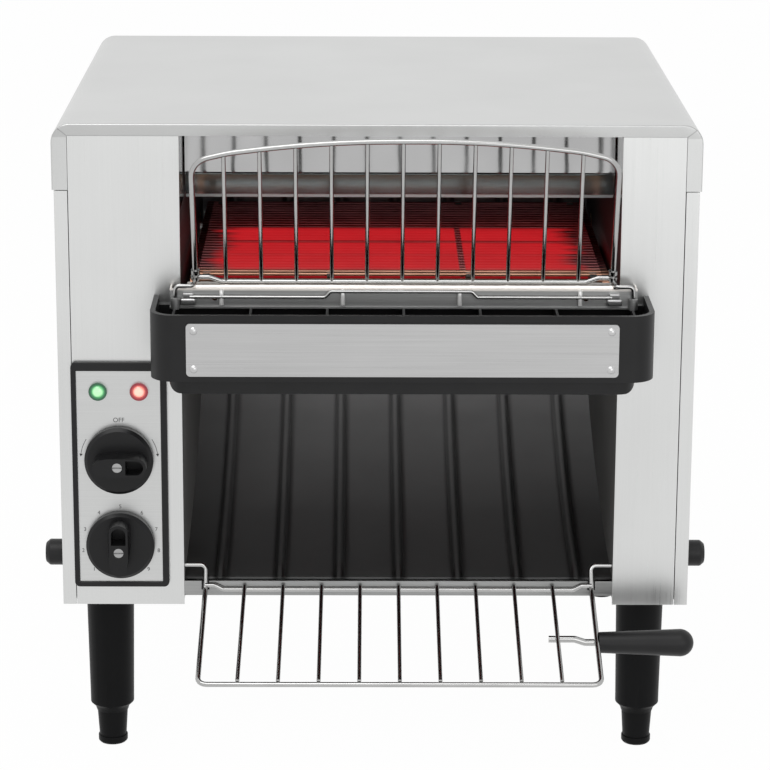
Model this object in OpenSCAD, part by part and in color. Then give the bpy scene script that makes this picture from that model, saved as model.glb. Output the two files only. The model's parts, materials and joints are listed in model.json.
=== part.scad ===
// Counter-top conveyor toaster: bread leans on the wire loading rack, rides a wire belt between
// two banks of heating elements, drops behind the belt and slides down the chute to the toast rack.
// The origin is on the table under the middle of the whole toaster; the front faces -Y.

/* [Casing] */
// Width over the top cover
body_w = 368; // [360:1:376]
// Depth of the casing from the front face to the rear panel
body_d = 331; // [326:1:350]
// Height of the casing without its legs
body_h = 285; // [283:1:296]
// Thickness of the outer sheets
sheet = 1.2; // [1:0.1:1.4]
// Outer radius of the long top edges
cover_r = 11; // [8:1:14]
// Height of the top cover's side skirts
cover_skirt = 38; // [34:1:42]
// Height of the folded lip along the top's front and rear
lip_h = 6.5; // [5.5:0.5:7]
// Width of the folded edges beside the pillars
edge_w = 9; // [8:0.5:10]

/* [Mouth] */
// Clear width between the inner walls
mouth_w = 250.6; // [248:0.2:252]
// Middle of the mouth, to the right of the casing's middle
mouth_x = 13.4; // [12:0.2:15]
// Height of the hood's lower edge above the casing's bottom
hood_lip_z = 235; // [232:1:238]

/* [Belt] */
// Height of the belt's upper face above the casing's bottom
belt_top_z = 195; // [193:0.5:196]
// Distance between two cross wires
belt_pitch = 7.2; // [7:0.1:7.4]
// Diameter of a cross wire
belt_wire_d = 2; // [1.8:0.1:2.2]
// Wire pitches between the two shafts
belt_steps = 28; // [27:1:28]
// Teeth of a belt sprocket
belt_teeth = 12; // [12]
// Diameter of the belt shafts
shaft_d = 10; // [9:0.5:11]
// Distance of the front shaft from the front face
front_shaft_y = 20; // [19:0.5:21]

/* [Chain drive] */
// Pitch of the roller chain
chain_pitch = 6.35; // [6.35]
// Teeth of both chain sprockets
chain_teeth = 16; // [16]
// Chain pitches between the motor and the belt shaft
chain_steps = 14; // [13:1:15]

/* [Racks] */
// Wire of the loading rack's arch
arch_wire_d = 3.2; // [3:0.1:3.6]
// Uprights of the loading rack
uprights = 11; // [9:1:13]
// Distance from the first upright to the last
upright_span = 200; // [194:1:204]
// Height of the arch above the belt
arch_h = 83.9; // [80:0.1:85]
// Lean of the loading rack towards the user, in degrees
arch_lean = 15; // [12:1:18]
// Wire of the toast rack's frame
rack_wire_d = 3; // [2.8:0.1:3.2]
// Bars between the toast rack's sides
rack_bars = 9; // [7:1:11]
// Reach of the toast rack in front of the casing
rack_reach = 78; // [70:1:84]
// Drop of the toast rack over its reach
rack_drop = 30.5; // [26:0.5:32]

/* [Bumper] */
// Width of the moulded bumper
bumper_w = 282.4; // [280:0.2:284]
// Depth of the bumper in front of the casing
bumper_d = 49.5; // [48:0.5:52]
// Height of the bumper's wall
bumper_h = 46; // [45:0.1:48]
// Height of the bumper's rim above the casing's bottom
bumper_top_z = 186.3; // [185:0.1:187]
// Wall of the bumper
bumper_wall = 3; // [2.5:0.1:3.5]

/* [Controls] */
// Diameter of both knobs
knob_d = 39.7; // [36:0.1:41]
// Height of the selector knob's middle
selector_z = 89.2; // [88:0.1:90]
// Height of the speed knob's middle
speed_z = 37.9; // [37:0.1:39]
// Distance of the knobs from the casing's middle
knob_x = -148.4; // [-149:0.1:-148]
// Height of the lamps' middle
lamp_z = 129.7; // [128:0.1:130]

/* [Legs] */
// Height of the casing above the table
leg_h = 97.2; // [90:0.2:105]
// Diameter of a leg at its top
leg_d = 28.3; // [27:0.1:29]
// Distance of a leg from the casing's middle
leg_x = 157.8; // [156:0.1:160]
// Distance of a leg from the front and rear faces
leg_y = 30; // [28:1:34]

/* [Hidden] */
$fn = 48;

stainless = "silver";
dark_steel = "dimgray";
moulding = "#242424";
wire_steel = "gainsboro";
ceramic = "ivory";

// The toaster's own front, measured from the origin
tray_lip = 8;
rack_wire_r = rack_wire_d / 2;
front_y = (rack_reach + rack_wire_r - body_d - tray_lip) / 2;

// Outer faces of the side panels, which the cover's skirts overlap
half_w = body_w / 2;
panel_x = half_w - sheet;
seam_x = half_w - edge_w;
seam_gap = 0.2;
mouth_left = mouth_x - mouth_w / 2;
mouth_right = mouth_x + mouth_w / 2;
floor_z = 3;
inner_floor_z = floor_z + sheet;
rear_in_y = body_d - sheet;

// Belt and its shafts
belt_r = belt_pitch / (2 * sin(180 / belt_teeth));
wire_r = belt_wire_d / 2;
shaft_z = belt_top_z - wire_r - belt_r;
shaft_r = shaft_d / 2;
belt_span = belt_steps * belt_pitch;
rear_shaft_y = front_shaft_y + belt_span;
belt_edge = 4;
belt_left = mouth_left + 5;
belt_right = mouth_right - 5;
sprocket_places = [belt_left + 9, mouth_x - 40, mouth_x + 40, belt_right - 9];
bush_r = 8;
running_gap = 0.05;

// Chain drive in the left side of the casing
chain_r = chain_pitch / (2 * sin(180 / chain_teeth));
chain_span = chain_steps * chain_pitch;
chain_x = mouth_left - 13;
motor_z = shaft_z - chain_span;

// Lower heating panels inside the belt loop
panel_top_z = 184;
panel_ys = [64.5, 99, 133.5];
panel_pitch = panel_ys[1] - panel_ys[0];
panel_gaps = [for (i = [0, 1]) panel_ys[i] + panel_pitch / 2];
heat_left = mouth_left + 14.5;
heat_right = mouth_right - 8.7;

// Toast rack: its side wires' line from the rear corner to the front bar
rack_half = 114.5;
rail_y = 0.3;
rack_rear_y = rail_y - rack_wire_r - 0.2;
rack_rear_z = 10;
rack_front_z = rack_rear_z - rack_drop;
hook_y = 6;
hook_z = 22.2;

// Bumper and what it carries
bumper_left = mouth_x + 0.8 - bumper_w / 2;
bumper_low_z = bumper_top_z - bumper_h;
feed_y = -10.2;
feed_seat_z = bumper_top_z - 5;

// Loading rack
arch_half = 118.4;
arch_y = -5;
arch_base_z = belt_top_z;
socket_left = mouth_left - 2.2;
socket_right = mouth_right + 6.6;
socket_y = feed_y - 2.5;

// Places of the side knobs
side_knob_y = 30;
side_knob_z = 22.3;

// ---------------------------------------------------------------- helpers

// Puts what is measured from the casing's front lower edge into the part's frame
module in_casing() {
    translate([0, front_y, leg_h]) children();
}

// Direction square to the step from a to b
function square_to(a, b) = [a[1] - b[1], b[0] - a[0]] / norm(b - a);

// A line of points moved sideways by t, with mitred corners
function moved(points, t) = [
    for (i = [0 : len(points) - 1])
        let (last = len(points) - 1)
        let (before = square_to(points[max(i - 1, 0)], points[max(i, 1)]))
        let (after = square_to(points[min(i, last - 1)], points[min(i + 1, last)]))
        let (middle = (before + after) / norm(before + after))
        points[i] + middle * t / (middle * before)
];

function backwards(points) = [for (i = [len(points) - 1 : -1 : 0]) points[i]];

// Points of an arc, with angles in degrees
function arc(centre, r, a0, a1, steps) = [
    for (i = [0 : steps])
        let (a = a0 + (a1 - a0) * i / steps)
        centre + r * [cos(a), sin(a)]
];

// Extrudes a profile given in Y and Z along X, from x0 to x1
module along_x(x0, x1) {
    translate([x0, 0, 0]) rotate([90, 0, 90]) linear_extrude(height = x1 - x0) children();
}

// Sheet of thickness t folded along a line of points in Y and Z
module folded_sheet(points, t, x0, x1) {
    along_x(x0, x1) polygon(concat(points, backwards(moved(points, t))));
}

// Box from one corner to the other
module block(low, high) {
    translate(low) cube(high - low);
}

// Rod along X, Y or Z
module rod_x(x0, x1, y, z, r) {
    translate([x0, y, z]) rotate([0, 90, 0]) cylinder(h = x1 - x0, r = r);
}
module rod_y(y0, y1, x, z, r) {
    translate([x, y0, z]) rotate([-90, 0, 0]) cylinder(h = y1 - y0, r = r);
}

// Straight wire between two points
module wire(a, b, r) {
    d = b - a;
    translate(a)
        rotate([0, acos(d[2] / norm(d)), atan2(d[1], d[0])])
            cylinder(h = norm(d), r = r);
}

function unit(v) = v / norm(v);

// Round elbow of a wire that comes from a, turns at b and goes on to c
module elbow(a, b, c, bend, r) {
    along = unit(b - a);
    onward = unit(c - b);
    turn = acos(along * onward);
    pivot = unit(cross(along, onward));
    inward = cross(pivot, along);
    centre = b - along * bend * tan(turn / 2) + inward * bend;
    multmatrix([for (k = [0 : 2]) [-inward[k], along[k], pivot[k], centre[k]]])
        rotate_extrude(angle = turn) translate([bend, 0]) circle(r = r);
}

// Length that an elbow takes off each of its two straight runs
function trim(a, b, c, bend) = bend * tan(acos(unit(b - a) * unit(c - b)) / 2);

// Bent wire: straight runs joined by elbows, with one bend radius for each inner point.
// A thin collar over each end of an elbow fuses it to its neighbours.
module bent_wire(points, bends, r) {
    last = len(points) - 1;
    trims = [for (i = [0 : last]) i == 0 || i == last ? 0
        : trim(points[i - 1], points[i], points[i + 1], bends[i - 1])];
    for (i = [0 : last - 1]) {
        along = unit(points[i + 1] - points[i]);
        start = points[i] + along * trims[i];
        end = points[i + 1] - along * trims[i + 1];
        wire(start, end, r);
        if (i > 0) wire(start - along * collar, start + along * collar, r * 1.05);
        if (i < last - 1) wire(end - along * collar, end + along * collar, r * 1.05);
    }
    for (i = [1 : last - 1])
        elbow(points[i - 1], points[i], points[i + 1], bends[i - 1], r);
}

collar = 0.25;

// Upright slab from y0 to y1 with four round corners, seen from the front
module rounded_slab(low, high, y0, y1, r) {
    for (x = [low[0] + r, high[0] - r], z = [low[1] + r, high[1] - r])
        rod_y(y0, y1, x, z, r);
    block([low[0] + r, y0, low[1]], [high[0] - r, y1, high[1]]);
    block([low[0], y0, low[1] + r], [high[0], y1, high[1] - r]);
}

// Block with its two front upright corners rounded
module round_fronted(x0, x1, y0, y1, z0, z1, r) {
    for (x = [x0 + r, x1 - r])
        translate([x, y0 + r, z0]) cylinder(h = z1 - z0, r = r);
    block([x0 + r, y0, z0], [x1 - r, y1, z1]);
    block([x0, y0 + r, z0], [x1, y1, z1]);
}

// ---------------------------------------------------------------- casing

// Solid of the cover's outer form, grown inwards by inset
module cover_form(inset, y0, y1) {
    r = cover_r - inset;
    w = half_w - inset;
    top = body_h - inset;
    for (side = [-1, 1])
        rod_y(y0, y1, side * (w - r), top - r, r);
    block([-w, y0, body_h - cover_skirt], [w, y1, top - r]);
    block([r - w, y0, body_h - cover_skirt], [w - r, y1, top]);
}

module top_cover() color(stainless) in_casing() difference() {
    union() {
        difference() {
            cover_form(0, 0, body_d);
            cover_form(sheet, -1, body_d + 1);
            block([sheet - half_w, -1, 0], [half_w - sheet, body_d + 1, body_h - cover_skirt + 1]);
        }
        // folded lips at the front and the rear, and the folded edges of the skirts
        for (y = [0, rear_in_y]) {
            intersection() {
                cover_form(0, y, y + sheet);
                block([-half_w, y, body_h - lip_h], [half_w, y + sheet, body_h]);
            }
            for (side = [-1, 1])
                intersection() {
                    cover_form(0, y, y + sheet);
                    translate([side * (half_w - edge_w / 2), y + sheet / 2, body_h - cover_skirt / 2])
                        cube([edge_w, sheet, cover_skirt], center = true);
                }
        }
    }
    for (side = [-1, 1], y = cover_screw_ys)
        rod_x(side * half_w - 3, side * half_w + 3, y, cover_screw_z, 2);
}

cover_screw_ys = [22, body_d - 22];
cover_screw_z = 258;
panel_top_edge = body_h - cover_skirt + 15;

// One lower side, seen from outside: side is -1 on the left and 1 on the right
module side_panel(side) color(stainless) in_casing() difference() {
    mirror([side < 0 ? 1 : 0, 0, 0]) {
        block([panel_x - sheet, sheet, 0], [panel_x, rear_in_y, panel_top_edge]);
        for (y = [0, rear_in_y])
            block([seam_x + seam_gap, y, 0], [panel_x, y + sheet, body_h - cover_skirt - 0.4]);
    }
    rod_x(side * panel_x - 3, side * panel_x + 3, side_knob_y, side_knob_z, 3);
    for (y = cover_screw_ys)
        rod_x(side * panel_x - 3, side * panel_x + 3, y, cover_screw_z, 2);
}

module side_panel_left() side_panel(-1);
module side_panel_right() side_panel(1);

// Sheet of one pillar with its two edges folded back, from x0 to x1
module pillar_sheet(x0, x1, outer_x, inner_x) {
    difference() {
        union() {
            block([x0, 0, 0], [x1, sheet, body_h - lip_h - 0.4]);
            for (x = [outer_x, inner_x])
                block([x, sheet, inner_floor_z], [x + sheet, 9, body_h - lip_h - 2]);
        }
        // room for the toast rack's hook
        rod_x(inner_x - 1, inner_x + 3, hook_y, hook_z, 2.4);
    }
}

module front_panel_left() color(stainless) in_casing() difference() {
    pillar_sheet(seam_gap - seam_x, mouth_left, seam_gap - seam_x, mouth_left - 2 * sheet);
    block([knob_x - 21, -1, 19], [knob_x + 21, sheet + 1, 136]);
}

module front_panel_right() color(stainless) in_casing()
    pillar_sheet(mouth_right, seam_x - seam_gap, seam_x - seam_gap - sheet, mouth_right + sheet);

// Wall beside the oven, with its inner face at face_x and its thickness towards side
module inner_wall(face_x, side) color(dark_steel) in_casing() difference() {
    mid_x = face_x + side * sheet / 2;
    translate([mid_x - sheet / 2, sheet, inner_floor_z])
        cube([sheet, rear_in_y - sheet, body_h - 8 - inner_floor_z]);
    for (y = [front_shaft_y, rear_shaft_y])
        rod_x(mid_x - 2, mid_x + 2, y, shaft_z, bush_r);
    for (y = upper_ys)
        rod_x(mid_x - 2, mid_x + 2, y, upper_z, 6);
    rod_x(mid_x - 2, mid_x + 2, hook_y, hook_z, rack_wire_r + running_gap);
}

module inner_wall_left() inner_wall(mouth_left, -1);
module inner_wall_right() inner_wall(mouth_right, 1);

// Rear sheet with louvre slots, the fan's opening, the tray's slot and the cord's hole
module rear_panel() color(stainless) in_casing() difference() {
    union() {
        block([seam_gap - seam_x, rear_in_y, 0], [seam_x - seam_gap, body_d, body_h - lip_h - 0.4]);
        // narrow flange that stiffens the sheet under the cover
        block([mouth_left + 8, rear_in_y - 8, body_h - lip_h - 6],
              [mouth_right - 8, rear_in_y, body_h - lip_h - 6 + sheet]);
    }
    for (row = [0, 1], i = [-7 : 7])
        block([mouth_x + i * 14 - 2, rear_in_y - 1, 196 + row * 34],
              [mouth_x + i * 14 + 2, body_d + 1, 222 + row * 34]);
    for (i = [-3 : 3])
        block([fan_x - fan_slot_w(i), rear_in_y - 1, fan_z + i * 7 - 2],
              [fan_x + fan_slot_w(i), body_d + 1, fan_z + i * 7 + 2]);
    block([mouth_left + 3, rear_in_y - 9, inner_floor_z - 0.4],
          [mouth_right - 3, body_d + 1, inner_floor_z + 8.6]);
    rod_y(rear_in_y - 1, body_d + 1, gland_x, gland_z, 8);
}

fan_x = -147.5;
fan_z = 216;
function fan_slot_w(i) = sqrt(25 * 25 - 49 * i * i);
gland_x = -150;
gland_z = 24;

module base_plate() color(stainless) in_casing() difference() {
    union() {
        block([sheet - panel_x, sheet, floor_z], [panel_x - sheet, rear_in_y, inner_floor_z]);
        // folded rail across the mouth, which the toast rack leans on
        block([mouth_left, rail_y, 6.3], [mouth_right, rail_y + sheet, 14.3]);
        block([mouth_left, rail_y + sheet, 6.3], [mouth_right, rail_y + 8, 7.5]);
        block([mouth_left, rail_y + 7, floor_z], [mouth_right, rail_y + 8.2, 7.5]);
        for (side = [-1, 1])
            translate([side * (panel_x - 1.5 * sheet), body_d / 2, floor_z / 2])
                cube([sheet, rear_in_y - sheet, floor_z], center = true);
    }
    // notches in the rail for the toast rack's sides
    for (side = [-1, 1])
        block([mouth_x + side * (rack_half - 1.5) - 2.2, 0, 9],
              [mouth_x + side * (rack_half - 1.5) + 2.2, rail_y + 2, 15]);
    // the floor stops behind the rail in the mouth
    block([mouth_left, 0, floor_z - 1], [mouth_right, rail_y + 7, 6.3]);
    for (x = [-leg_x, leg_x], y = [leg_y, body_d - leg_y])
        translate([x, y, floor_z - 1]) cylinder(h = 4, r = 4);
    for (x = [-150, -136, 150], i = [0 : 5])
        block([x - 2, 90 + i * 18, floor_z - 1], [x + 2, 102 + i * 18, inner_floor_z + 1]);
}

// ---------------------------------------------------------------- oven

hood_y = 45;
hood_top_z = body_h - 8;
hood_gap = 1.6;

module hood() color("whitesmoke") in_casing()
    folded_sheet([[sheet + 0.8, hood_top_z], [hood_y, hood_top_z], [hood_y, hood_lip_z + 14],
                  [hood_y + 7, hood_lip_z]], sheet, mouth_left + hood_gap, mouth_right - hood_gap);

upper_z = hood_lip_z + 14;
upper_ys = [84, 124, 164, 204];

module upper_reflector() color(dark_steel) in_casing()
    folded_sheet([[60, hood_lip_z + 3], [64, hood_lip_z + 25], [224, hood_lip_z + 25],
                  [228, hood_lip_z + 3]], tray_sheet, mouth_left, mouth_right);

// Sheathed rods through both walls, with a ceramic collar at each end
module upper_elements() color("firebrick") in_casing()
    for (y = upper_ys) {
        rod_x(mouth_left - 16, mouth_right + 16, y, upper_z, 4);
        for (x = [mouth_left - 8, mouth_right - 3])
            rod_x(x, x + 11, y, upper_z, 6);
    }

tray_sheet = 0.8;
heater_floor_z = shaft_z - belt_r + 3;

module lower_tray() color(dark_steel) in_casing()
    folded_sheet([[panel_ys[0] - 23.5, panel_top_z - 4], [panel_ys[0] - 21.5, heater_floor_z],
                  [panel_ys[2] + 22.5, heater_floor_z], [panel_ys[2] + 24.5, panel_top_z - 4]],
                 tray_sheet, mouth_left, mouth_right);

module lower_elements() color("red") in_casing()
    for (y = panel_ys)
        difference() {
            block([heat_left, y - 16, panel_top_z - 7], [heat_right, y + 16, panel_top_z]);
            // the quartz face is set a little below the panel's rim
            block([heat_left + 2, y - 15, panel_top_z - 0.6], [heat_right - 2, y + 15, panel_top_z + 1]);
        }

module element_holders() color(ceramic) in_casing()
    for (x = [heat_left - 6, heat_right])
        difference() {
            block([x, panel_ys[0] - 18.5, heater_floor_z + tray_sheet],
                  [x + 6, panel_ys[2] + 18.5, panel_top_z + 1.5]);
            for (y = panel_gaps)
                block([x - 1, y - 1, panel_top_z - 5], [x + 7, y + 1, panel_top_z + 2]);
        }

module insulation() color("beige") in_casing()
    block([mouth_left + 2, 66, hood_lip_z + 25 + tray_sheet], [mouth_right - 2, 222, hood_lip_z + 38]);

// ---------------------------------------------------------------- belt

// Runs of a loop round both shafts: a band of thickness t whose middle is at radius r
module loop_band(x0, x1, r, t, y0, z0, dy, dz) {
    difference() {
        loop_solid(x0, x1, r + t / 2, y0, z0, dy, dz);
        loop_solid(x0 - 1, x1 + 1, r - t / 2, y0, z0, dy, dz);
    }
}

// Solid with two round ends, between the axes at (y0, z0) and (y0 + dy, z0 + dz)
module loop_solid(x0, x1, r, y0, z0, dy, dz) {
    rod_x(x0, x1, y0, z0, r);
    rod_x(x0, x1, y0 + dy, z0 + dz, r);
    translate([x0, y0, z0])
        rotate([atan2(dz, dy), 0, 0])
            translate([0, 0, -r])
                cube([x1 - x0, norm([dy, dz]), 2 * r]);
}

module belt() color(wire_steel) in_casing() {
    for (x = [belt_left, belt_right - belt_edge])
        loop_band(x, x + belt_edge, belt_r, 1.2, front_shaft_y, shaft_z, belt_span, 0);
    for (i = [0 : belt_steps], side = [-1, 1])
        rod_x(belt_left, belt_right, front_shaft_y + i * belt_pitch, shaft_z + side * belt_r, wire_r);
    // wires lying round the two shafts
    for (i = [1 : belt_teeth / 2 - 1]) {
        a = 90 + i * 360 / belt_teeth;
        rod_x(belt_left, belt_right, front_shaft_y + belt_r * cos(a), shaft_z + belt_r * sin(a), wire_r);
        rod_x(belt_left, belt_right, rear_shaft_y - belt_r * cos(a), shaft_z - belt_r * sin(a), wire_r);
    }
}

// Bar under the belt's upper run, on two posts that stand between the heating panels
module belt_rail() color(dark_steel) in_casing() {
    block([rail_x - 1, 40, 188], [rail_x + 1, 202, 191.5]);
    for (y = panel_gaps)
        block([rail_x - 1, y - 0.8, heater_floor_z + tray_sheet], [rail_x + 1, y + 0.8, 189]);
}

rail_x = 50;

// Toothed wheel about the X axis: teeth stand between the wires that lie on radius pitch_r
module toothed_wheel(width, pitch_r, teeth, root_gap, tip, tooth_w, bore_r) {
    difference() {
        union() {
            rotate([0, 90, 0]) cylinder(h = width, r = pitch_r - root_gap, center = true);
            for (i = [0 : teeth - 1])
                rotate([(i + 0.5) * 360 / teeth, 0, 0])
                    translate([0, 0, pitch_r / 2 + tip / 2])
                        cube([width, tooth_w, pitch_r + tip], center = true);
        }
        rotate([0, 90, 0]) cylinder(h = width + 2, r = bore_r, center = true);
    }
}

module belt_wheels(y) {
    for (x = sprocket_places)
        translate([x, y, shaft_z])
            toothed_wheel(4, belt_r, belt_teeth, wire_r + 0.5, 1, 3.2, shaft_r);
}

module drive_sprockets() color("slategray") in_casing() {
    belt_wheels(rear_shaft_y);
    translate([chain_x, rear_shaft_y, shaft_z])
        toothed_wheel(2.4, chain_r, chain_teeth, 2.1, 1, 2, shaft_r);
}

module idler_sprockets() color("slategray") in_casing() belt_wheels(front_shaft_y);

module drive_shaft() color("silver") in_casing()
    rod_x(chain_x - 5, mouth_right + 6, rear_shaft_y, shaft_z, shaft_r);

module idler_shaft() color("silver") in_casing()
    rod_x(mouth_left - 6, mouth_right + 6, front_shaft_y, shaft_z, shaft_r);

// Flanged bushes in the four holes of the inner walls
module shaft_bushes() color("goldenrod") in_casing()
    for (x = [mouth_left - sheet, mouth_right], y = [front_shaft_y, rear_shaft_y])
        difference() {
            union() {
                rod_x(x, x + sheet, y, shaft_z, bush_r);
                rod_x(x < 0 ? x - 2 : x + sheet, x < 0 ? x : x + sheet + 2, y, shaft_z, bush_r + 2);
            }
            rod_x(x - 4, x + 6, y, shaft_z, shaft_r + running_gap);
        }

// ---------------------------------------------------------------- chain drive

motor_face_x = chain_x - 8;

// Gearbox and motor can, bolted to the bracket
module gear_motor() color("dimgray") in_casing() difference() {
    union() {
        block([motor_face_x - sheet - 18, rear_shaft_y - 26, motor_z - 30],
              [motor_face_x - sheet, rear_shaft_y + 26, motor_z + 34]);
        rod_x(motor_face_x - sheet - 38, motor_face_x - sheet - 18, rear_shaft_y, motor_z + 6, 24);
    }
    rod_x(motor_face_x - sheet - 12, motor_face_x, rear_shaft_y, motor_z, 4 + running_gap);
}

// Bridge that holds the gearbox off the inner wall, with the chain running inside it
module motor_bracket() color(stainless) in_casing() difference() {
    union() {
        block([motor_face_x - sheet, rear_shaft_y - 30, motor_z - 32],
              [motor_face_x, rear_shaft_y + 30, motor_z + 34]);
        for (y = [rear_shaft_y - 30, rear_shaft_y + 30 - sheet])
            block([motor_face_x - sheet, y, motor_z - 32],
                  [mouth_left - sheet, y + sheet, motor_z + 34]);
    }
    rod_x(motor_face_x - 4, motor_face_x + 2, rear_shaft_y, motor_z, 6);
}

module motor_sprocket() color("slategray") in_casing() {
    rod_x(motor_face_x - sheet - 10, chain_x + 3, rear_shaft_y, motor_z, 4);
    translate([chain_x, rear_shaft_y, motor_z])
        toothed_wheel(2.4, chain_r, chain_teeth, 2.1, 1, 2, 3.9);
}

// Roller chain: rollers one pitch apart between two loops of side plates
module drive_chain() color("gray") in_casing() {
    for (x = [chain_x - 3.1, chain_x + 1.9])
        loop_band(x, x + 1.2, chain_r, 4, rear_shaft_y, motor_z, 0, chain_span);
    for (i = [0 : chain_steps], side = [-1, 1])
        rod_x(chain_x - 2, chain_x + 2, rear_shaft_y + side * chain_r, motor_z + i * chain_pitch, 1.6);
    for (i = [1 : chain_teeth / 2 - 1]) {
        a = i * 360 / chain_teeth;
        rod_x(chain_x - 2, chain_x + 2, rear_shaft_y + chain_r * cos(a), shaft_z + chain_r * sin(a), 1.6);
        rod_x(chain_x - 2, chain_x + 2, rear_shaft_y + chain_r * cos(a), motor_z - chain_r * sin(a), 1.6);
    }
}

// ---------------------------------------------------------------- controls

spindle_r = 3;
screw_r = 1.5;
plate_low = [-172.6, 14.5];
plate_high = [-124.2, 141.9];

module control_frame() color(moulding) in_casing() difference() {
    rounded_slab([plate_low[0] - 2.9, plate_low[1] - 2.8], [plate_high[0] + 3.7, plate_high[1] + 5],
                 -3, 0, 3);
    block([plate_low[0], -4, plate_low[1]], [plate_high[0], 1, plate_high[1]]);
}

module control_plate() color(stainless) in_casing() difference() {
    block([plate_low[0], -1.6, plate_low[1]], [plate_high[0], 0, plate_high[1]]);
    for (z = [selector_z, speed_z])
        rod_y(-3, 1, knob_x, z, 5);
    for (x = lamp_xs)
        rod_y(-3, 1, x, lamp_z, 3.6);
}

lamp_xs = [knob_x - 11.6, knob_x + 12];

// Panel lamp: bezel ring, domed lens and the body behind the plate
module lamp(x, lens_colour) in_casing() color(lens_colour) {
    difference() {
        rod_y(-3.2, -1.6, x, lamp_z, 5.3);
        rod_y(-4, -2.4, x, lamp_z, 3.9);
    }
    rod_y(-2.6, 16, x, lamp_z, 3.5);
    intersection() {
        translate([x, 0.2, lamp_z]) sphere(r = 4.6);
        rod_y(-5, -1.8, x, lamp_z, 3.7);
    }
}

module ready_lamp() lamp(lamp_xs[0], "limegreen");
module power_lamp() lamp(lamp_xs[1], "red");

grip_y = -21;

// Knob with a skirt and a raised grip bar; turn is the bar's angle from upright
module knob(z, turn) color(moulding) in_casing()
    translate([knob_x, 0, z]) rotate([0, turn, 0]) difference() {
        union() {
            rod_y(-6.4, -2.4, 0, 0, knob_d / 2);
            // skirt's rounded shoulder
            translate([0, -6.4, 0]) rotate([90, 0, 0])
                cylinder(h = 1.6, r1 = knob_d / 2, r2 = knob_d / 2 - 1.8);
            // grip bar, narrower towards its rear end
            rod_y(grip_y, -7, 0, 10.5, 6.2);
            block([-6.2, grip_y, 0], [6.2, -7, 10.5]);
            rod_y(grip_y, -7, 0, -9.2, 4.8);
            translate([0, -7, 0]) rotate([90, 0, 0]) linear_extrude(height = -7 - grip_y)
                polygon([[-6.2, 0.1], [6.2, 0.1], [4.8, -9.2], [-4.8, -9.2]]);
        }
        // finger scallops on both sides of the bar, the pocket in its pointing half, the screw's seat
        for (side = [-1, 1])
            translate([side * 20.5, -23, 0]) cylinder(h = 60, r = 15.2, center = true);
        rod_y(grip_y - 1, -8.5, 0, 10.8, 4.2);
        block([-4.2, grip_y - 1, 4.8], [4.2, -8.5, 10.8]);
        rod_y(-22, -18.6, 0, 0, 2.9);
        rod_y(-19, -17, 0, 0, screw_r);
        rod_y(-17.5, -1, 0, 0, spindle_r);
    }

module selector_knob() knob(selector_z, 90);
module speed_knob() knob(speed_z, 0);

// Spindle with the clamp screw in its front end
module spindle(z) color("silver") in_casing() {
    rod_y(-17.5, 14, knob_x, z, spindle_r);
    difference() {
        rod_y(-20.4, -18.6, knob_x, z, 2.8);
        block([knob_x - 3, -21, z - 0.4], [knob_x + 3, -20, z + 0.4]);
    }
    rod_y(-18.7, -17.4, knob_x, z, screw_r);
}

module selector_spindle() spindle(selector_z);
module speed_spindle() spindle(speed_z);

module selector_switch() color("gainsboro") in_casing() difference() {
    union() {
        block([knob_x - 18, 4, selector_z - 18], [knob_x + 18, 40, selector_z + 18]);
        rod_y(0, 4, knob_x, selector_z, 8);
        // two rows of tab terminals
        for (x = [-12, -4, 4, 12], z = [-9, 9])
            block([knob_x + x - 0.4, 40, selector_z + z - 3], [knob_x + x + 0.4, 48, selector_z + z + 3]);
    }
    rod_y(0, 16, knob_x, selector_z, spindle_r + running_gap);
}

module speed_control() color("dimgray") in_casing() difference() {
    union() {
        rod_y(4, 22, knob_x, speed_z, 15);
        rod_y(0, 4, knob_x, speed_z, 6);
        for (x = [-5, 0, 5])
            block([knob_x + x - 1, 12, speed_z - 21], [knob_x + x + 1, 12.8, speed_z - 12]);
    }
    rod_y(0, 16, knob_x, speed_z, spindle_r + running_gap);
}

// Speed controller board on four pillars, fixed to the left inner wall
module control_board() color("seagreen") in_casing() {
    board_x = mouth_left - sheet - 8;
    block([board_x - 1.6, 60, 24], [board_x, 150, 94]);
    for (y = [66, 144], z = [30, 88])
        rod_x(board_x, mouth_left - sheet, y, z, 2.5);
    for (y = [72, 92, 112])
        rod_x(board_x - 16, board_x - 1.6, y, 76, 6);
    block([board_x - 14, 104, 30], [board_x - 1.6, 140, 52]);
}

module terminal_block() color(ceramic) in_casing() difference() {
    block([-166, 272, inner_floor_z], [-134, 296, inner_floor_z + 20]);
    for (x = [-161, -150, -139])
        translate([x, 284, inner_floor_z + 10]) cylinder(h = 12, r = 3);
}

// ---------------------------------------------------------------- fan

fan_half = 30;

module fan_housing() color(moulding) in_casing() difference() {
    union() {
        difference() {
            block([fan_x - fan_half, rear_in_y - 20, fan_z - fan_half],
                  [fan_x + fan_half, rear_in_y, fan_z + fan_half]);
            rod_y(rear_in_y - 21, rear_in_y + 1, fan_x, fan_z, fan_half - 2);
        }
        rod_y(rear_in_y - 20, rear_in_y - 17, fan_x, fan_z, 9);
        for (a = [45 : 90 : 315])
            translate([fan_x, rear_in_y - 18.5, fan_z]) rotate([0, a, 0])
                translate([0, 0, fan_half / 2 + 1]) cube([3, 3, fan_half - 2], center = true);
    }
    rod_y(rear_in_y - 19, rear_in_y - 16, fan_x, fan_z, 1.5 + running_gap);
}

module fan_rotor() color("dimgray") in_casing() translate([fan_x, rear_in_y - 9, fan_z]) {
    rod_y(-6, 5, 0, 0, 11);
    rod_y(-9.8, -6, 0, 0, 1.5);
    for (i = [0 : 6])
        rotate([0, i * 360 / 7, 0])
            translate([0, -0.5, 18.5])
                rotate([0, 0, 35])
                    cube([12, 1.2, 17], center = true);
}

// ---------------------------------------------------------------- chute and tray

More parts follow.
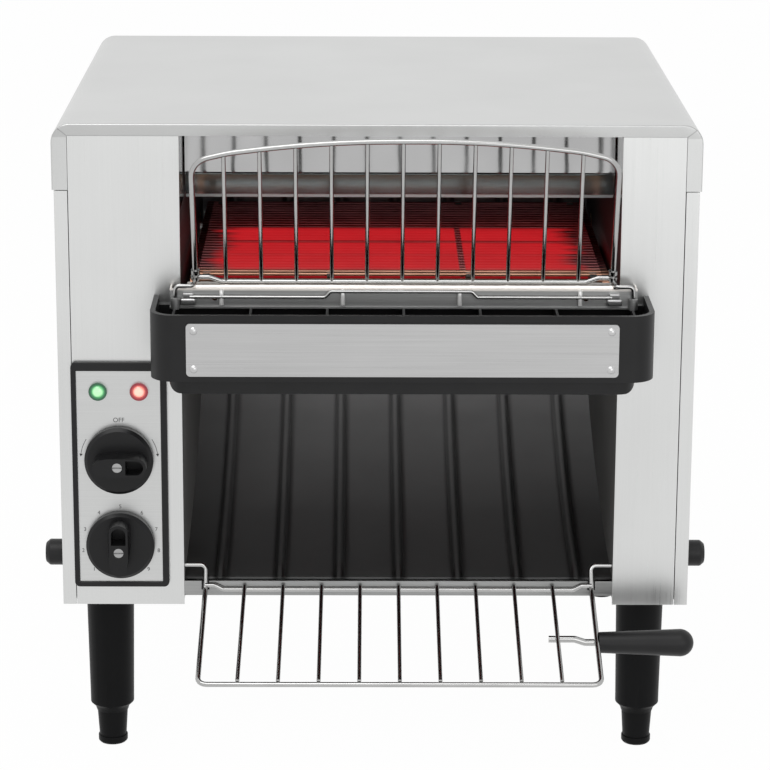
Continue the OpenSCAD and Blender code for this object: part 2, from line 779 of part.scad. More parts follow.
chute_bend_r = 595;
chute_rear_r = 110;
chute_t = 1.5;
chute_slope = 4.3;
chute_knee = 22.6;
chute_top = 85;
chute_back = 106;
chute_start = [5, 13.8];
// concave line of the chute, steeper towards the rear, in Y and Z
chute_long_centre = chute_start + chute_bend_r * [-sin(chute_slope), cos(chute_slope)];
chute_knee_point = chute_long_centre + chute_bend_r * [sin(chute_knee), -cos(chute_knee)];
chute_rear_centre = chute_knee_point + chute_rear_r * [-sin(chute_knee), cos(chute_knee)];
chute_line = concat(
    arc(chute_long_centre, chute_bend_r, chute_slope - 90, chute_knee - 90, 14),
    arc(chute_rear_centre, chute_rear_r, chute_knee - 88, chute_top - 90, 10),
    [chute_rear_centre + chute_rear_r * [sin(chute_top), -cos(chute_top)]
        + chute_back * [cos(chute_top), sin(chute_top)]]
);
rib_line = [for (p = chute_line) if (p[0] > 9) p];
rib_pitch = 34.8;
rib_w = 7;

module chute() color(moulding) in_casing() {
    folded_sheet(chute_line, chute_t, mouth_left, mouth_right);
    for (i = [-3 : 3])
        folded_sheet(rib_line, chute_t + 2.2, mouth_x + i * rib_pitch - rib_w / 2,
                     mouth_x + i * rib_pitch + rib_w / 2);
}

tray_z = inner_floor_z;
tray_h = 6.4;

module crumb_tray() color("lightgray") in_casing() {
    difference() {
        block([mouth_left + 5, 24, tray_z], [mouth_right - 5, body_d, tray_z + tray_h]);
        block([mouth_left + 6, 25, tray_z + 1], [mouth_right - 6, body_d + 1, tray_z + tray_h + 1]);
    }
    // rear face over the slot, and the lip to pull it by
    block([mouth_left + 1, body_d, tray_z - 1], [mouth_right - 1, body_d + 1, tray_z + 11]);
    block([mouth_x - 60, body_d + 1, tray_z + 10], [mouth_x + 60, body_d + tray_lip, tray_z + 11]);
}

// ---------------------------------------------------------------- bumper and feed sheet

bumper_right = bumper_left + bumper_w;
step_h = 7.9;
step_in = 10.3;
rib_step = 43.3;

module bumper() color(moulding) in_casing() {
    difference() {
        union() {
            round_fronted(bumper_left, bumper_right, -bumper_d, 0,
                          bumper_low_z + step_h, bumper_top_z, 14);
            // lower step, with its ends rounded underneath
            intersection() {
                round_fronted(bumper_left + step_in, bumper_right - step_in, 4 - bumper_d, 0,
                              bumper_low_z, bumper_low_z + step_h + 1, 11);
                rounded_slab([bumper_left + step_in, bumper_low_z],
                             [bumper_right - step_in, bumper_top_z], -bumper_d, 0, 6);
            }
        }
        round_fronted(bumper_left + bumper_wall, bumper_right - bumper_wall, bumper_wall - bumper_d,
                      -bumper_wall, bumper_low_z + step_h + bumper_wall, bumper_top_z + 1, 11.5);
        // the rear wall stops under the feed sheet
        block([bumper_left + bumper_wall, -bumper_wall - 1, feed_seat_z],
              [bumper_right - bumper_wall, 1, bumper_top_z + 1]);
    }
    // ribs from the front wall to the rear wall, which the feed sheet stands on
    for (i = [-3 : 3], x = mouth_x + 1.8 + i * rib_step)
        block([x - 0.7, 1 - bumper_d, bumper_low_z + step_h + 1], [x + 0.7, -1, feed_seat_z]);
}

front_plate_low = [-106.3, 151.6];
front_plate_high = [134.7, 181.9];
rivet_inset = 4.2;
rivet_xs = [front_plate_low[0] + rivet_inset, front_plate_high[0] - rivet_inset];
rivet_zs = [front_plate_low[1] + rivet_inset, front_plate_high[1] - rivet_inset];

module front_plate() color(stainless) in_casing() difference() {
    rounded_slab(front_plate_low, front_plate_high, -bumper_d - sheet, -bumper_d, 2.3);
    for (x = rivet_xs, z = rivet_zs)
        rod_y(-bumper_d - 2, -bumper_d + 1, x, z, 1.4);
}

// Domed rivet heads on short shanks
module plate_rivets() color("silver") in_casing()
    for (x = rivet_xs, z = rivet_zs) {
        rod_y(-bumper_d - sheet - 0.1, -bumper_d, x, z, 1.4);
        intersection() {
            translate([x, 1.7 - bumper_d - sheet, z]) sphere(r = 2.8);
            rod_y(-bumper_d - sheet - 3, -bumper_d - sheet, x, z, 2.6);
        }
    }

feed_left = bumper_left + bumper_wall + 6.6;
feed_right = bumper_right - bumper_wall - 4.4;
feed_top_z = 192.4;

module feed_plate() color(stainless) in_casing() {
    difference() {
        union() {
            // sloping top strip, upright face and a narrow hem
            folded_sheet([[2, 193.6], [-8.6, 193.2], [feed_y, feed_top_z - 0.2]], 1,
                         mouth_left + 4, mouth_right - 5);
            block([feed_left, feed_y, feed_seat_z], [feed_right, feed_y + 1, feed_top_z]);
            block([feed_left, feed_y - 1.6, feed_seat_z], [feed_right, feed_y, feed_seat_z + 1]);
            // ends folded back to the pillars
            for (x = [feed_left, feed_right - 1])
                block([x, feed_y, feed_seat_z], [x + 1, 0, feed_top_z]);
        }
        for (x = [-84, -26, 33, 52])
            block([x - 2.6, -7, 188], [x + 2.6, -4.6, 197]);
        for (x = [mouth_left + 20, mouth_right - 20])
            rod_y(feed_y - 2, feed_y + 2, x, 187, 1.6);
    }
    // sockets that take the loading rack's ends
    for (x = [socket_left, socket_right])
        difference() {
            translate([x, socket_y, feed_seat_z]) cylinder(h = socket_top_z - feed_seat_z, r = 2.6);
            translate([x, socket_y, feed_seat_z - 1])
                cylinder(h = socket_top_z - feed_seat_z + 2, r = pin_r + running_gap);
        }
}

post_xs = [-88, -19.3, 47, 115.3];
guard_y = feed_y - 2.4;
guard_z = 188.2;
guard_lift = 3.3;
post_top_z = 191.1;

// Wire in front of the feed sheet, raised in its middle, with four bent posts
module feed_guard() color(wire_steel) in_casing() {
    lift_left = post_xs[1] - 7;
    lift_right = post_xs[2] + 7;
    bent_wire([[post_xs[0] - 18, guard_y, guard_z], [lift_left - 3, guard_y, guard_z],
               [lift_left, guard_y, guard_z + guard_lift], [lift_right, guard_y, guard_z + guard_lift],
               [lift_right + 3, guard_y, guard_z], [post_xs[3] + 18, guard_y, guard_z]],
              [2, 2, 2, 2], 1);
    for (x = post_xs)
        bent_wire([[x, guard_y + 0.4, 183.6], [x, guard_y + 0.4, post_top_z], [x, feed_y, post_top_z]],
                  [1.5], 1.3);
}

// ---------------------------------------------------------------- racks

// Point of the leaning loading rack, u to the right of the mouth's middle and v up its slope
function leaning(u, v) = [mouth_x + 2.1 + u, arch_y - v * sin(arch_lean), arch_base_z + v * cos(arch_lean)];

// Arch in u and v: side wire, tight corner, shoulder and long crown, then the same mirrored
arch_v = arch_h / cos(arch_lean);
arch_half_line = [[arch_half, 0.8], [arch_half + 0.9, arch_v - 11.8], [arch_half - 20.4, arch_v - 6.4],
                  [45, arch_v + 0.3]];
arch_bends = [12, 100, 600];
arch_line = concat(arch_half_line, [for (p = backwards(arch_half_line)) [-p[0], p[1]]]);

// Height of the arch's middle line at u
function arch_top(u) = arch_v + lookup(abs(u), [[0, 0.3], [8, 0.3], [45, -0.8], [82, -4.2],
                                                [arch_half - 20.4, -7.3]]);

cross_wire = [[0, 3.4], [8, 3.4], [15, 0.6]];
pin_r = 1.2;
socket_top_z = 187.5;
end_z = 194.6;

module loading_rack() color(wire_steel) in_casing() {
    bent_wire([for (p = arch_line) leaning(p[0], p[1])],
              concat(arch_bends, backwards(arch_bends)), arch_wire_d / 2);
    for (i = [0 : uprights - 1]) {
        u = (i / (uprights - 1) - 0.5) * upright_span - 1.1;
        wire(leaning(u, 0), leaning(u, arch_top(u)), 1.2);
    }
    // cross wire with raised ends, wrapped round the side wires
    bent_wire(concat([for (p = cross_wire) leaning(p[0] - arch_half, p[1])],
                     [for (p = backwards(cross_wire)) leaning(arch_half - p[0], p[1])]),
              [5, 5, 5, 5], 1.5);
    for (side = [-1, 1], v = [1.8, 5.6])
        wire(leaning(side * arch_half, v), leaning(side * arch_half, v + 2.4), 2.6);
    // ends that reach forward, out and down into the sockets
    for (end = [[-arch_half, socket_left, 1], [arch_half, socket_right, -1]])
        bent_wire([leaning(end[0], 1.2), [end[1] + end[2] * 9.6, socket_y, end_z],
                   [end[1], socket_y, end_z], [end[1], socket_y, feed_seat_z + 1]], [2, 2.5], pin_r);
}

bar_r = 1.2;
cross_r = 1.3;
cross_z = 9.6;
rack_end = [-rack_reach, rack_front_z];
rack_start = [rack_rear_y, rack_rear_z];
bar_pitch = 2 * rack_half / (rack_bars + 1);
// point of the toast rack's slope in Y and Z, from 0 at its rear to 1 at its front
function down_rack(t) = rack_start + (rack_end - rack_start) * t;
// point of the bars' middle lines, which lie on the cross wire and the front bar
bar_start = [rack_rear_y - 0.6, cross_z + 2];
bar_end = [0.6 - rack_reach, rack_front_z + 2];
function down_bar(t) = bar_start + (bar_end - bar_start) * t;
handle_t = 0.51;

// Left half of the frame: wall end, hook, rear corner and front corner
rack_half_line = [[mouth_left - 4, hook_y, hook_z], [mouth_x - rack_half + 1.5, hook_y, hook_z],
                  [mouth_x - rack_half + 1.5, rack_rear_y, rack_rear_z],
                  [mouth_x - rack_half + 0.5, -rack_reach, rack_front_z]];
rack_line = concat(rack_half_line,
                   [for (p = backwards(rack_half_line)) [2 * mouth_x - p[0], p[1], p[2]]]);
rack_cross = [[1.5, 2.6], [7, 2.6], [12, 0]];

module toast_rack() color(wire_steel) in_casing() {
    bent_wire(rack_line, [3, 3, 5, 5, 3, 3], rack_wire_r);
    // rear cross wire with raised ends
    bent_wire(concat([for (p = rack_cross) [mouth_x - rack_half + p[0], rack_rear_y, cross_z + p[1]]],
                     [for (p = backwards(rack_cross))
                         [mouth_x + rack_half - p[0], rack_rear_y, cross_z + p[1]]]),
              [4, 4, 4, 4], cross_r);
    // bars lie on the cross wire and the front bar
    for (i = [1 : rack_bars]) {
        x = mouth_x - rack_half + i * bar_pitch;
        wire([x, bar_start[0], bar_start[1]], [x, bar_end[0], bar_end[1]], bar_r);
    }
    // handle wire welded under the bars, stepped down before the grip
    bent_wire([[handle_x0, handle_y, handle_z + 2], [handle_x0 + 14.9, handle_y, handle_z + 2],
               [handle_x0 + 20.9, handle_y, handle_z], [grip_x0 + 8, handle_y, handle_z]], [6, 6], handle_r);
}

handle_r = 2;
handle_y = down_bar(handle_t)[0];
handle_z = down_bar(handle_t)[1] - 5;
handle_x0 = mouth_x + rack_half - 1.25 * bar_pitch;
grip_x0 = 128;
grip_len = 54.7;
grip_r = 7.9;

module rack_grip() color(moulding) in_casing() difference() {
    union() {
        translate([grip_x0, handle_y, handle_z]) rotate([0, 90, 0])
            cylinder(h = grip_len - grip_r, r1 = 6, r2 = grip_r);
        translate([grip_x0 + grip_len - grip_r, handle_y, handle_z]) sphere(r = grip_r);
    }
    rod_x(grip_x0 - 1, grip_x0 + 8, handle_y, handle_z, handle_r);
}

// ---------------------------------------------------------------- outside fittings

// Thumb knob on one side, with its threaded stem through the panel
module side_knob(side) color(moulding) in_casing()
    translate([side * panel_x, side_knob_y, side_knob_z]) rotate([0, side * 90, 0]) {
        cylinder(h = 10, r = 7.75);
        translate([0, 0, 10]) cylinder(h = 2.5, r1 = 7.75, r2 = 5.6);
        translate([0, 0, -10]) cylinder(h = 10.5, r = 3 - running_gap);
    }

module side_knob_left() side_knob(-1);
module side_knob_right() side_knob(1);

foot_stem_r = 5;
foot_r = 8.75;
foot_h = 20;
leg_low_r = leg_d / 2 - 1.2;
collar_z = foot_h + 2.5;

// Tapered leg with a stepped lower end, a shallow flute and a bore for the foot's stem
module leg() difference() {
    union() {
        translate([0, 0, 26]) cylinder(h = leg_h + floor_z - 26, r1 = leg_low_r, r2 = leg_d / 2);
        translate([0, 0, 23.2]) cylinder(h = 2.8, r1 = 10.2, r2 = leg_low_r);
        translate([0, 0, foot_h + 0.6]) cylinder(h = 2.6, r1 = 9.4, r2 = 10.2);
        // bolt through the base plate
        translate([0, 0, leg_h]) cylinder(h = floor_z + 8, r = 4);
    }
    for (a = [0, 180])
        rotate([0, 0, a]) translate([0, -leg_d / 2 - 3.6, 20]) rotate([3, 0, 0])
            cylinder(h = 52, r = 6);
    translate([0, 0, foot_h - 1]) cylinder(h = 34, r = foot_stem_r + running_gap);
}

module legs() color(moulding) translate([0, front_y, 0])
    for (x = [-leg_x, leg_x], y = [leg_y, body_d - leg_y])
        translate([x, y, 0]) leg();

// Screw foot: stem, tapered barrel and a rubber end
module foot(side, y) color(moulding) translate([side * leg_x, front_y + y, 0]) {
    cylinder(h = 1.2, r1 = foot_r - 1, r2 = foot_r);
    translate([0, 0, 1.2]) cylinder(h = 3.4, r = foot_r);
    translate([0, 0, 4.6]) cylinder(h = foot_h - 4, r1 = foot_r - 0.7, r2 = foot_r + 0.3);
    translate([0, 0, foot_h]) cylinder(h = 30, r = foot_stem_r);
}

module foot_front_left() foot(-1, leg_y);
module foot_front_right() foot(1, leg_y);
module foot_rear_left() foot(-1, body_d - leg_y);
module foot_rear_right() foot(1, body_d - leg_y);

// Pan-head screws through the skirts
module cover_screws() color("silver") in_casing()
    for (side = [-1, 1], y = cover_screw_ys)
        translate([side * half_w, y, cover_screw_z]) rotate([0, side * 90, 0]) {
            difference() {
                cylinder(h = 1.8, r1 = 3.6, r2 = 2.6);
                translate([-3, -0.4, 1.2]) cube([6, 0.8, 1]);
            }
            translate([0, 0, -8]) cylinder(h = 8, r = 2);
        }

// Gland in the rear panel: flange outside, nut inside, with an open bore
module cord_gland() color(moulding) in_casing() difference() {
    union() {
        rod_y(body_d, body_d + 3, gland_x, gland_z, 12);
        rod_y(body_d + 3, body_d + 7.5, gland_x, gland_z, 9);
        rod_y(rear_in_y - 10, body_d, gland_x, gland_z, 8);
        rod_y(rear_in_y - 5, rear_in_y, gland_x, gland_z, 12);
    }
    rod_y(rear_in_y - 12, body_d + 9, gland_x, gland_z, 4.5);
}

// ---------------------------------------------------------------- assembly

top_cover();
side_panel_left();
side_panel_right();
front_panel_left();
front_panel_right();
inner_wall_left();
inner_wall_right();
rear_panel();
base_plate();
hood();
upper_reflector();
upper_elements();
lower_tray();
lower_elements();
element_holders();
insulation();
belt();
belt_rail();
shaft_bushes();
drive_shaft();
drive_sprockets();
idler_shaft();
idler_sprockets();
gear_motor();
motor_bracket();
motor_sprocket();
drive_chain();
selector_switch();
selector_spindle();
selector_knob();
speed_control();
speed_spindle();
speed_knob();
control_board();
terminal_block();
fan_housing();
fan_rotor();
control_frame();
control_plate();
ready_lamp();
power_lamp();
chute();
crumb_tray();
bumper();
front_plate();
plate_rivets();
feed_plate();
feed_guard();
loading_rack();
toast_rack();
rack_grip();
side_knob_left();
side_knob_right();
legs();
foot_front_left();
foot_front_right();
foot_rear_left();
foot_rear_right();
cover_screws();
cord_gland();
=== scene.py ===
"""Builds the finished pieces, materials and stage of a counter-top conveyor toaster.

It is laid out as an add-on and run as a script. Sizes are in millimetres from the casing's front
lower edge unless a name says otherwise: X to the right, Y to the rear, Z up.
"""

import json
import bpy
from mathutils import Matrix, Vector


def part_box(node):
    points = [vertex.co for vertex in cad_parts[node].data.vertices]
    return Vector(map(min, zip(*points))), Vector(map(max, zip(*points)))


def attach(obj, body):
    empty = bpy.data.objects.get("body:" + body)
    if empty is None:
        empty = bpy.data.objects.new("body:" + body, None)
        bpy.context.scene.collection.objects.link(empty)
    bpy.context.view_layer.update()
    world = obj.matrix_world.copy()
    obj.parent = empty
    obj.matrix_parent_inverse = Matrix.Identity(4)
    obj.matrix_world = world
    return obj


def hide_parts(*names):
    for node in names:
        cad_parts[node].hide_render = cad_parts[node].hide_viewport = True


bl_info = {
    "name": "Conveyor toaster",
    "version": (1, 0, 0),
    "blender": (4, 5, 0),
    "location": "View3D > Sidebar > Toaster",
    "description": "Finished pieces, materials and stage of a counter-top conveyor toaster",
    "category": "Add Mesh",
}

from math import acos, copysign, cos, radians, sin, tan

import bmesh
import bpy
from bpy.props import FloatProperty, FloatVectorProperty, IntProperty, PointerProperty
from mathutils import Matrix, Vector

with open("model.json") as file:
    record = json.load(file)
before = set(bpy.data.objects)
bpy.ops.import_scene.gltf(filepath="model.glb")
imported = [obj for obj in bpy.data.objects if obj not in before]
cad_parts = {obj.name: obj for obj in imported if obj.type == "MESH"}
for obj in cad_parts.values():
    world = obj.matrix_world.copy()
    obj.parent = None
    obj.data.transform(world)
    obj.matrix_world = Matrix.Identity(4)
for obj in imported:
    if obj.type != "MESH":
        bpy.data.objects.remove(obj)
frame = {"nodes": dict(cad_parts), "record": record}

MM = 0.001
NODES = frame["nodes"]
RECORD = frame["record"]
BODY_OF = {n: b for b, ns in RECORD["behaviour"]["bodies"].items() for n in ns}
SLOT_OF = {p["node"]: p["material_slot"] for p in RECORD["subparts"]}
CASING_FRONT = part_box("front_panel_left")[0].y
CASING_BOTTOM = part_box("side_panel_left")[0].z
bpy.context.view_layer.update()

# ---------------- places taken from the part
MOUTH_X = 13.4
MOUTH_HALF = 125.3
MOUTH_LEFT, MOUTH_RIGHT = MOUTH_X - MOUTH_HALF, MOUTH_X + MOUTH_HALF
HALF_WIDTH = 184.0
DEPTH = 331.0
HEIGHT = 285.0
BELT_TOP = 195.0
KNOB_X = -148.4
SELECTOR_Z = 89.2
SPEED_Z = 37.9
LAMP_Z = 129.7
LAMP_XS = (KNOB_X - 11.6, KNOB_X + 12.0)
PLATE_FRONT_Y = -1.6
SCREW_SLOT_Y = -20.0
SLOT_HALF = (2.65, 0.39)
ARC_RADIUS, DIGIT_RADIUS, OFF_RISE = 22.3, 22.4, 23.2
HOOD_BREAK, HOOD_LIP = 249.0, 233.4
FEED_TOP = 192.4
RIB_PITCH = 34.8


def at(x, y, z):
    """A point measured from the casing's front lower edge, in the row frame in metres."""
    return Vector((x * MM, CASING_FRONT + y * MM, CASING_BOTTOM + z * MM))


# ---------------- settings a user would change
def setting(name, description, default, low, high, kind=FloatProperty, **more):
    return kind(name=name, description=description, default=default, min=low, max=high, **more)


def colour_setting(name, description, default):
    return setting(name, description, default, 0.0, 1.0, FloatVectorProperty, subtype="COLOR")


class CasingSettings(bpy.types.PropertyGroup):
    """Sheet metal of the casing"""

    cover_radius: setting(
        "Cover radius", "Outer radius of the cover's long edges, in millimetres", 11.0, 4.0, 16.0)
    fold_radius: setting("Fold radius", "Outer radius of a folded sheet edge, in millimetres", 0.9, 0.3, 1.5)
    steel_colour: colour_setting("Steel colour", "Colour of the brushed sheet", (0.60, 0.605, 0.60))


class HeatSettings(bpy.types.PropertyGroup):
    """Glow of the oven"""

    # the glow colour and strength also set the painted glow on the belt wires
    glow_colour: colour_setting("Glow colour", "Colour of the glowing panels", (0.50, 0.011, 0.016))
    glow_strength: setting("Glow strength", "Emission of the glowing panels", 1.0, 0.0, 6.0)


class WireSettings(bpy.types.PropertyGroup):
    """Wires of the racks"""

    arch_diameter: setting(
        "Arch wire", "Diameter of the loading rack's arch, in millimetres", 3.2, 2.0, 4.0)
    facets: setting("Facets", "Bevel resolution of a wire's round section", 4, 2, 8, IntProperty)


class StageSettings(bpy.types.PropertyGroup):
    """Floor, lamps and camera"""

    floor_colour: colour_setting("Floor colour", "Colour of the plain floor", (0.90, 0.90, 0.90))
    key_power: setting(
        "Key lamp", "Power of the large soft lamp above, in watts", 14.0, 0.0, 200.0, unit="POWER")
    room_level: setting("Room level", "Strength of the even light from all round", 0.58, 0.0, 3.0)


# ---------------- node trees
def rgb(colour):
    """The colour's three shares; a plain number is a grey."""
    return tuple(colour)[:3] if hasattr(colour, "__len__") else (colour,) * 3


def times(colour, share):
    return [min(1.0, c * share) for c in rgb(colour)]


class Nodes:
    """Short ways to add to one shader tree; a value is a socket to link, a number or a colour."""

    def __init__(self, tree):
        self.tree = tree

    def give(self, socket, value):
        if hasattr(value, "is_linked"):
            self.tree.links.new(value, socket)
        elif socket.type == "RGBA":
            socket.default_value = (*rgb(value), 1.0)
        else:
            socket.default_value = value

    def add(self, kind, **settings):
        """Adds a node; settings are its own properties, or its sockets where the name starts with i_."""
        made = self.tree.nodes.new("ShaderNode" + kind)
        for name, value in settings.items():
            if name.startswith("i_"):
                self.give(made.inputs[name[2:].replace("_", " ")], value)
            else:
                setattr(made, name, value)
        return made

    def math(self, operation, *values, kind="Math", output=0, **settings):
        made = self.add(kind, operation=operation, **settings)
        for socket, value in zip(made.inputs, values):
            self.give(socket, value)
        return made.outputs[output]

    def scaled(self, value, by, plus):
        return self.math("MULTIPLY_ADD", value, by, plus)

    def vector(self, operation, *values, output="Vector"):
        return self.math(operation, *values, kind="VectorMath", output=output)

    def noise(self, place, scale, detail, **more):
        return self.add("TexNoise", i_Vector=place, i_Scale=scale, i_Detail=detail, **more).outputs["Fac"]

    def bump(self, height, depth, distance):
        return self.add("Bump", i_Height=height, i_Strength=depth, i_Distance=distance).outputs["Normal"]

    def ramp(self, source, stops):
        """Colour ramp over the source with stops given as (position, value or colour)."""
        made = self.add("ValToRGB", i_Fac=source)
        elements = made.color_ramp.elements
        while len(elements) < len(stops):
            elements.new(0.5)
        for element, (position, value) in zip(elements, stops):
            element.position = position
            element.color = (*rgb(value), 1.0)
        return made.outputs["Color"]

    def between(self, source, low, high):
        """Ramp over the part of a noise's range that it mostly keeps to."""
        return self.ramp(source, [(0.3, low), (0.7, high)])

    def varied(self, source, colour, share):
        """Ramp from a darker to a lighter tone of the colour."""
        return self.between(source, times(colour, 1.0 - share), times(colour, 1.0 + share))

    def mix(self, factor, a, b, blend="MIX"):
        made = self.add("Mix", data_type="RGBA", blend_type=blend)
        for index, value in ((0, factor), (6, a), (7, b)):
            self.give(made.inputs[index], value)
        return made.outputs[2]

    def use(self, name, **values):
        """Adds a shared group, made at its first use, and returns its outputs."""
        if name not in GROUPS:
            GROUPS[name] = GROUP_MAKERS[name]()
        made = self.add("Group", node_tree=GROUPS[name])
        for label, value in values.items():
            self.give(made.inputs[label], value)
        return made.outputs


def group_of(name, inputs, outputs):
    """Empty shader group; returns its nodes, its inputs and the function that links its outputs."""
    tree = bpy.data.node_groups.new(name, "ShaderNodeTree")
    for label, default in inputs.items():
        kind = "NodeSocketFloat" if isinstance(default, float) else "NodeSocketVector"
        tree.interface.new_socket(label, in_out="INPUT", socket_type=kind).default_value = default
    for label in outputs:
        kind = "NodeSocketVector" if label == "Normal" else "NodeSocketFloat"
        tree.interface.new_socket(label, in_out="OUTPUT", socket_type=kind)
    nodes, out = Nodes(tree), tree.nodes.new("NodeGroupOutput")

    def fill(**values):
        for label, value in values.items():
            nodes.give(out.inputs[label], value)
        return tree

    return nodes, tree.nodes.new("NodeGroupInput").outputs, fill


def brushed_grain_group():
    """Fine streaks drawn out along one axis, with broad cloudy variation beneath."""
    nodes, entry, fill = group_of(
        "Brushed grain", {"Vector": (0.0, 0.0, 0.0), "Stretch": (1.0, 1.0, 1.0), "Depth": 0.02},
        ("Streaks", "Cloud", "Normal"))
    drawn_out = nodes.vector("MULTIPLY", entry["Vector"], entry["Stretch"])
    fine = nodes.noise(drawn_out, 1.0, 5.0, i_Roughness=0.7)
    cloud = nodes.noise(entry["Vector"], 9.0, 3.0, i_Roughness=0.55)
    return fill(Streaks=fine, Cloud=cloud, Normal=nodes.bump(fine, entry["Depth"], 0.0003))


def moulded_skin_group():
    """Fine spark-eroded texture of a moulding, with faint handling marks."""
    nodes, entry, fill = group_of(
        "Moulded skin", {"Vector": (0.0, 0.0, 0.0), "Grain": 2600.0, "Depth": 0.1},
        ("Mottle", "Marks", "Normal"))
    grain = nodes.noise(entry["Vector"], entry["Grain"], 2.0, i_Roughness=0.5)
    mottle = nodes.noise(entry["Vector"], 38.0, 4.0, i_Roughness=0.6)
    marks = nodes.noise(entry["Vector"], 210.0, 6.0, i_Roughness=0.75, i_Distortion=1.2)
    return fill(Mottle=mottle, Marks=marks, Normal=nodes.bump(grain, entry["Depth"], 0.0002))


def band_mask_group():
    """A mask that is 1 between two planes across an axis, with soft edges."""
    nodes, entry, fill = group_of(
        "Band mask", {"Value": 0.0, "From": 0.0, "To": 1.0, "Edge": 0.01}, ("Mask",))
    value, edge = entry["Value"], entry["Edge"]
    rise = nodes.math("DIVIDE", nodes.math("SUBTRACT", value, entry["From"]), edge, use_clamp=True)
    fall = nodes.math("DIVIDE", nodes.math("SUBTRACT", entry["To"], value), edge, use_clamp=True)
    return fill(Mask=nodes.math("MULTIPLY", rise, fall))


GROUPS = {}
GROUP_MAKERS = {"brushed": brushed_grain_group, "moulded": moulded_skin_group, "band": band_mask_group}


class Look(Nodes):
    """Material with one Principled shader, textured over the object's own coordinates."""

    def __init__(self, name, **shader):
        self.material = bpy.data.materials.new(name)
        self.material.use_nodes = True
        super().__init__(self.material.node_tree)
        self.place = self.add("TexCoord").outputs["Object"]
        self.shade(**shader)

    def shade(self, **shader):
        """Sets or links the shader's sockets by name and returns the material."""
        for label, value in shader.items():
            self.give(self.tree.nodes["Principled BSDF"].inputs[label.replace("_", " ")], value)
        return self.material

    def skin(self, group, **values):
        return self.use(group, Vector=self.place, **values)

    def axis(self, name):
        """The place on an axis, in casing millimetres."""
        index = "xyz".index(name)
        place = self.add("SeparateXYZ", i_Vector=self.place).outputs[index]
        return self.scaled(place, 1 / MM, -at(0, 0, 0)[index] / MM)

    def band(self, value, low=-1000.0, high=1000.0, edge=0.5):
        """Mask between two places on an axis, given by its name, or on a value's socket."""
        if isinstance(value, str):
            value = self.axis(value)
        return self.use("band", Value=value, From=low, To=high, Edge=edge)["Mask"]

    def dimmed(self, mask, share, by):
        """The mask less a share of it where by is 1."""
        return self.math("MULTIPLY", mask, self.scaled(by, -share, 1.0))

    def streaks(self, stretch, detail):
        """Noise drawn out by its own scale on each axis."""
        drawn_out = self.add("Mapping", i_Vector=self.place, i_Scale=stretch).outputs["Vector"]
        return self.noise(drawn_out, 1.0, detail)


ALONG = {"x": (9.0, 1500.0, 1500.0), "y": (1500.0, 9.0, 1500.0), "z": (1500.0, 1500.0, 9.0)}


def steel(share=1.0):
    return times(bpy.context.scene.toaster_casing.steel_colour, share)


def brushed_steel(name, colour, along="z", rough=0.30, depth=0.05, contrast=0.10, painted_lip_shade=None):
    """Brushed sheet, with optional painted shade on a lip across the casing's front: the share of its colour
    left there.
    """
    look = Look(name, Metallic=1.0)
    grain = look.skin("brushed", Stretch=ALONG[along], Depth=depth)
    tone = look.varied(grain["Streaks"], colour, contrast)
    tone = look.mix(1.0, tone, look.between(grain["Cloud"], 0.93, 1.0), "MULTIPLY")
    # painted shade: the cover's front lip is darkened where it faces forward, away from the light above
    if painted_lip_shade:
        lip = look.math("MULTIPLY", look.band("y", high=1.2, edge=0.6),
                        look.band("z", HEIGHT - 8.0, edge=0.6))
        tone = look.mix(lip, tone, look.mix(1.0, tone, painted_lip_shade, "MULTIPLY"))
    gloss = look.scaled(grain["Streaks"], 0.16, rough - 0.08)
    return look.shade(Base_Color=tone, Roughness=gloss, Normal=grain["Normal"])


def moulding(name, colour, rough=0.5, depth=0.12, spread=0.18, shine=0.5):
    look = Look(name, Specular_IOR_Level=shine)
    skin = look.skin("moulded", Depth=depth)
    gloss = look.scaled(skin["Marks"], 0.18, rough - 0.09)
    return look.shade(
        Base_Color=look.varied(skin["Mottle"], colour, spread), Roughness=gloss, Normal=skin["Normal"])


def bright_wire(name, colour, rough=0.16):
    look = Look(name, Metallic=1.0)
    skin = look.skin("moulded", Grain=900.0, Depth=0.01)
    gloss = look.scaled(skin["Marks"], 0.05, rough - 0.02)
    return look.shade(Base_Color=look.between(skin["Mottle"], times(colour, 0.88), colour), Roughness=gloss,
                      Normal=skin["Normal"])


def plain_finish(name, colour, rough, metallic=0.0, spread=0.1):
    look = Look(name, Roughness=rough, Metallic=metallic)
    skin = look.skin("moulded", Depth=0.06)
    return look.shade(Base_Color=look.varied(skin["Mottle"], colour, spread), Normal=skin["Normal"])


def ink(name, colour):
    look = Look(name, Roughness=0.55)
    skin = look.skin("moulded", Grain=4000.0, Depth=0.05)
    return look.shade(Base_Color=look.ramp(skin["Marks"], [(0.2, times(colour, 1.4)), (0.6, colour)]))


def banded_wall(name):
    """Inner wall: dull grey beside the chute, much darker up in the oven, bright beside the hood."""
    look = Look(name, Specular_IOR_Level=0.3)
    grain = look.skin("brushed", Stretch=ALONG["y"], Depth=0.05)
    dull = look.between(grain["Cloud"], (0.13, 0.128, 0.125), (0.18, 0.178, 0.175))
    dark_tone = look.between(grain["Cloud"], 0.026, 0.042)
    oven = look.band("z", BELT_TOP - 40.0, edge=15.0)
    bright = look.band("z", HOOD_LIP, edge=1.0)
    return look.shade(
        Base_Color=look.mix(bright, look.mix(oven, dull, dark_tone), 0.50), Metallic=bright,
        Roughness=look.scaled(bright, -0.43, 0.55), Normal=grain["Normal"])


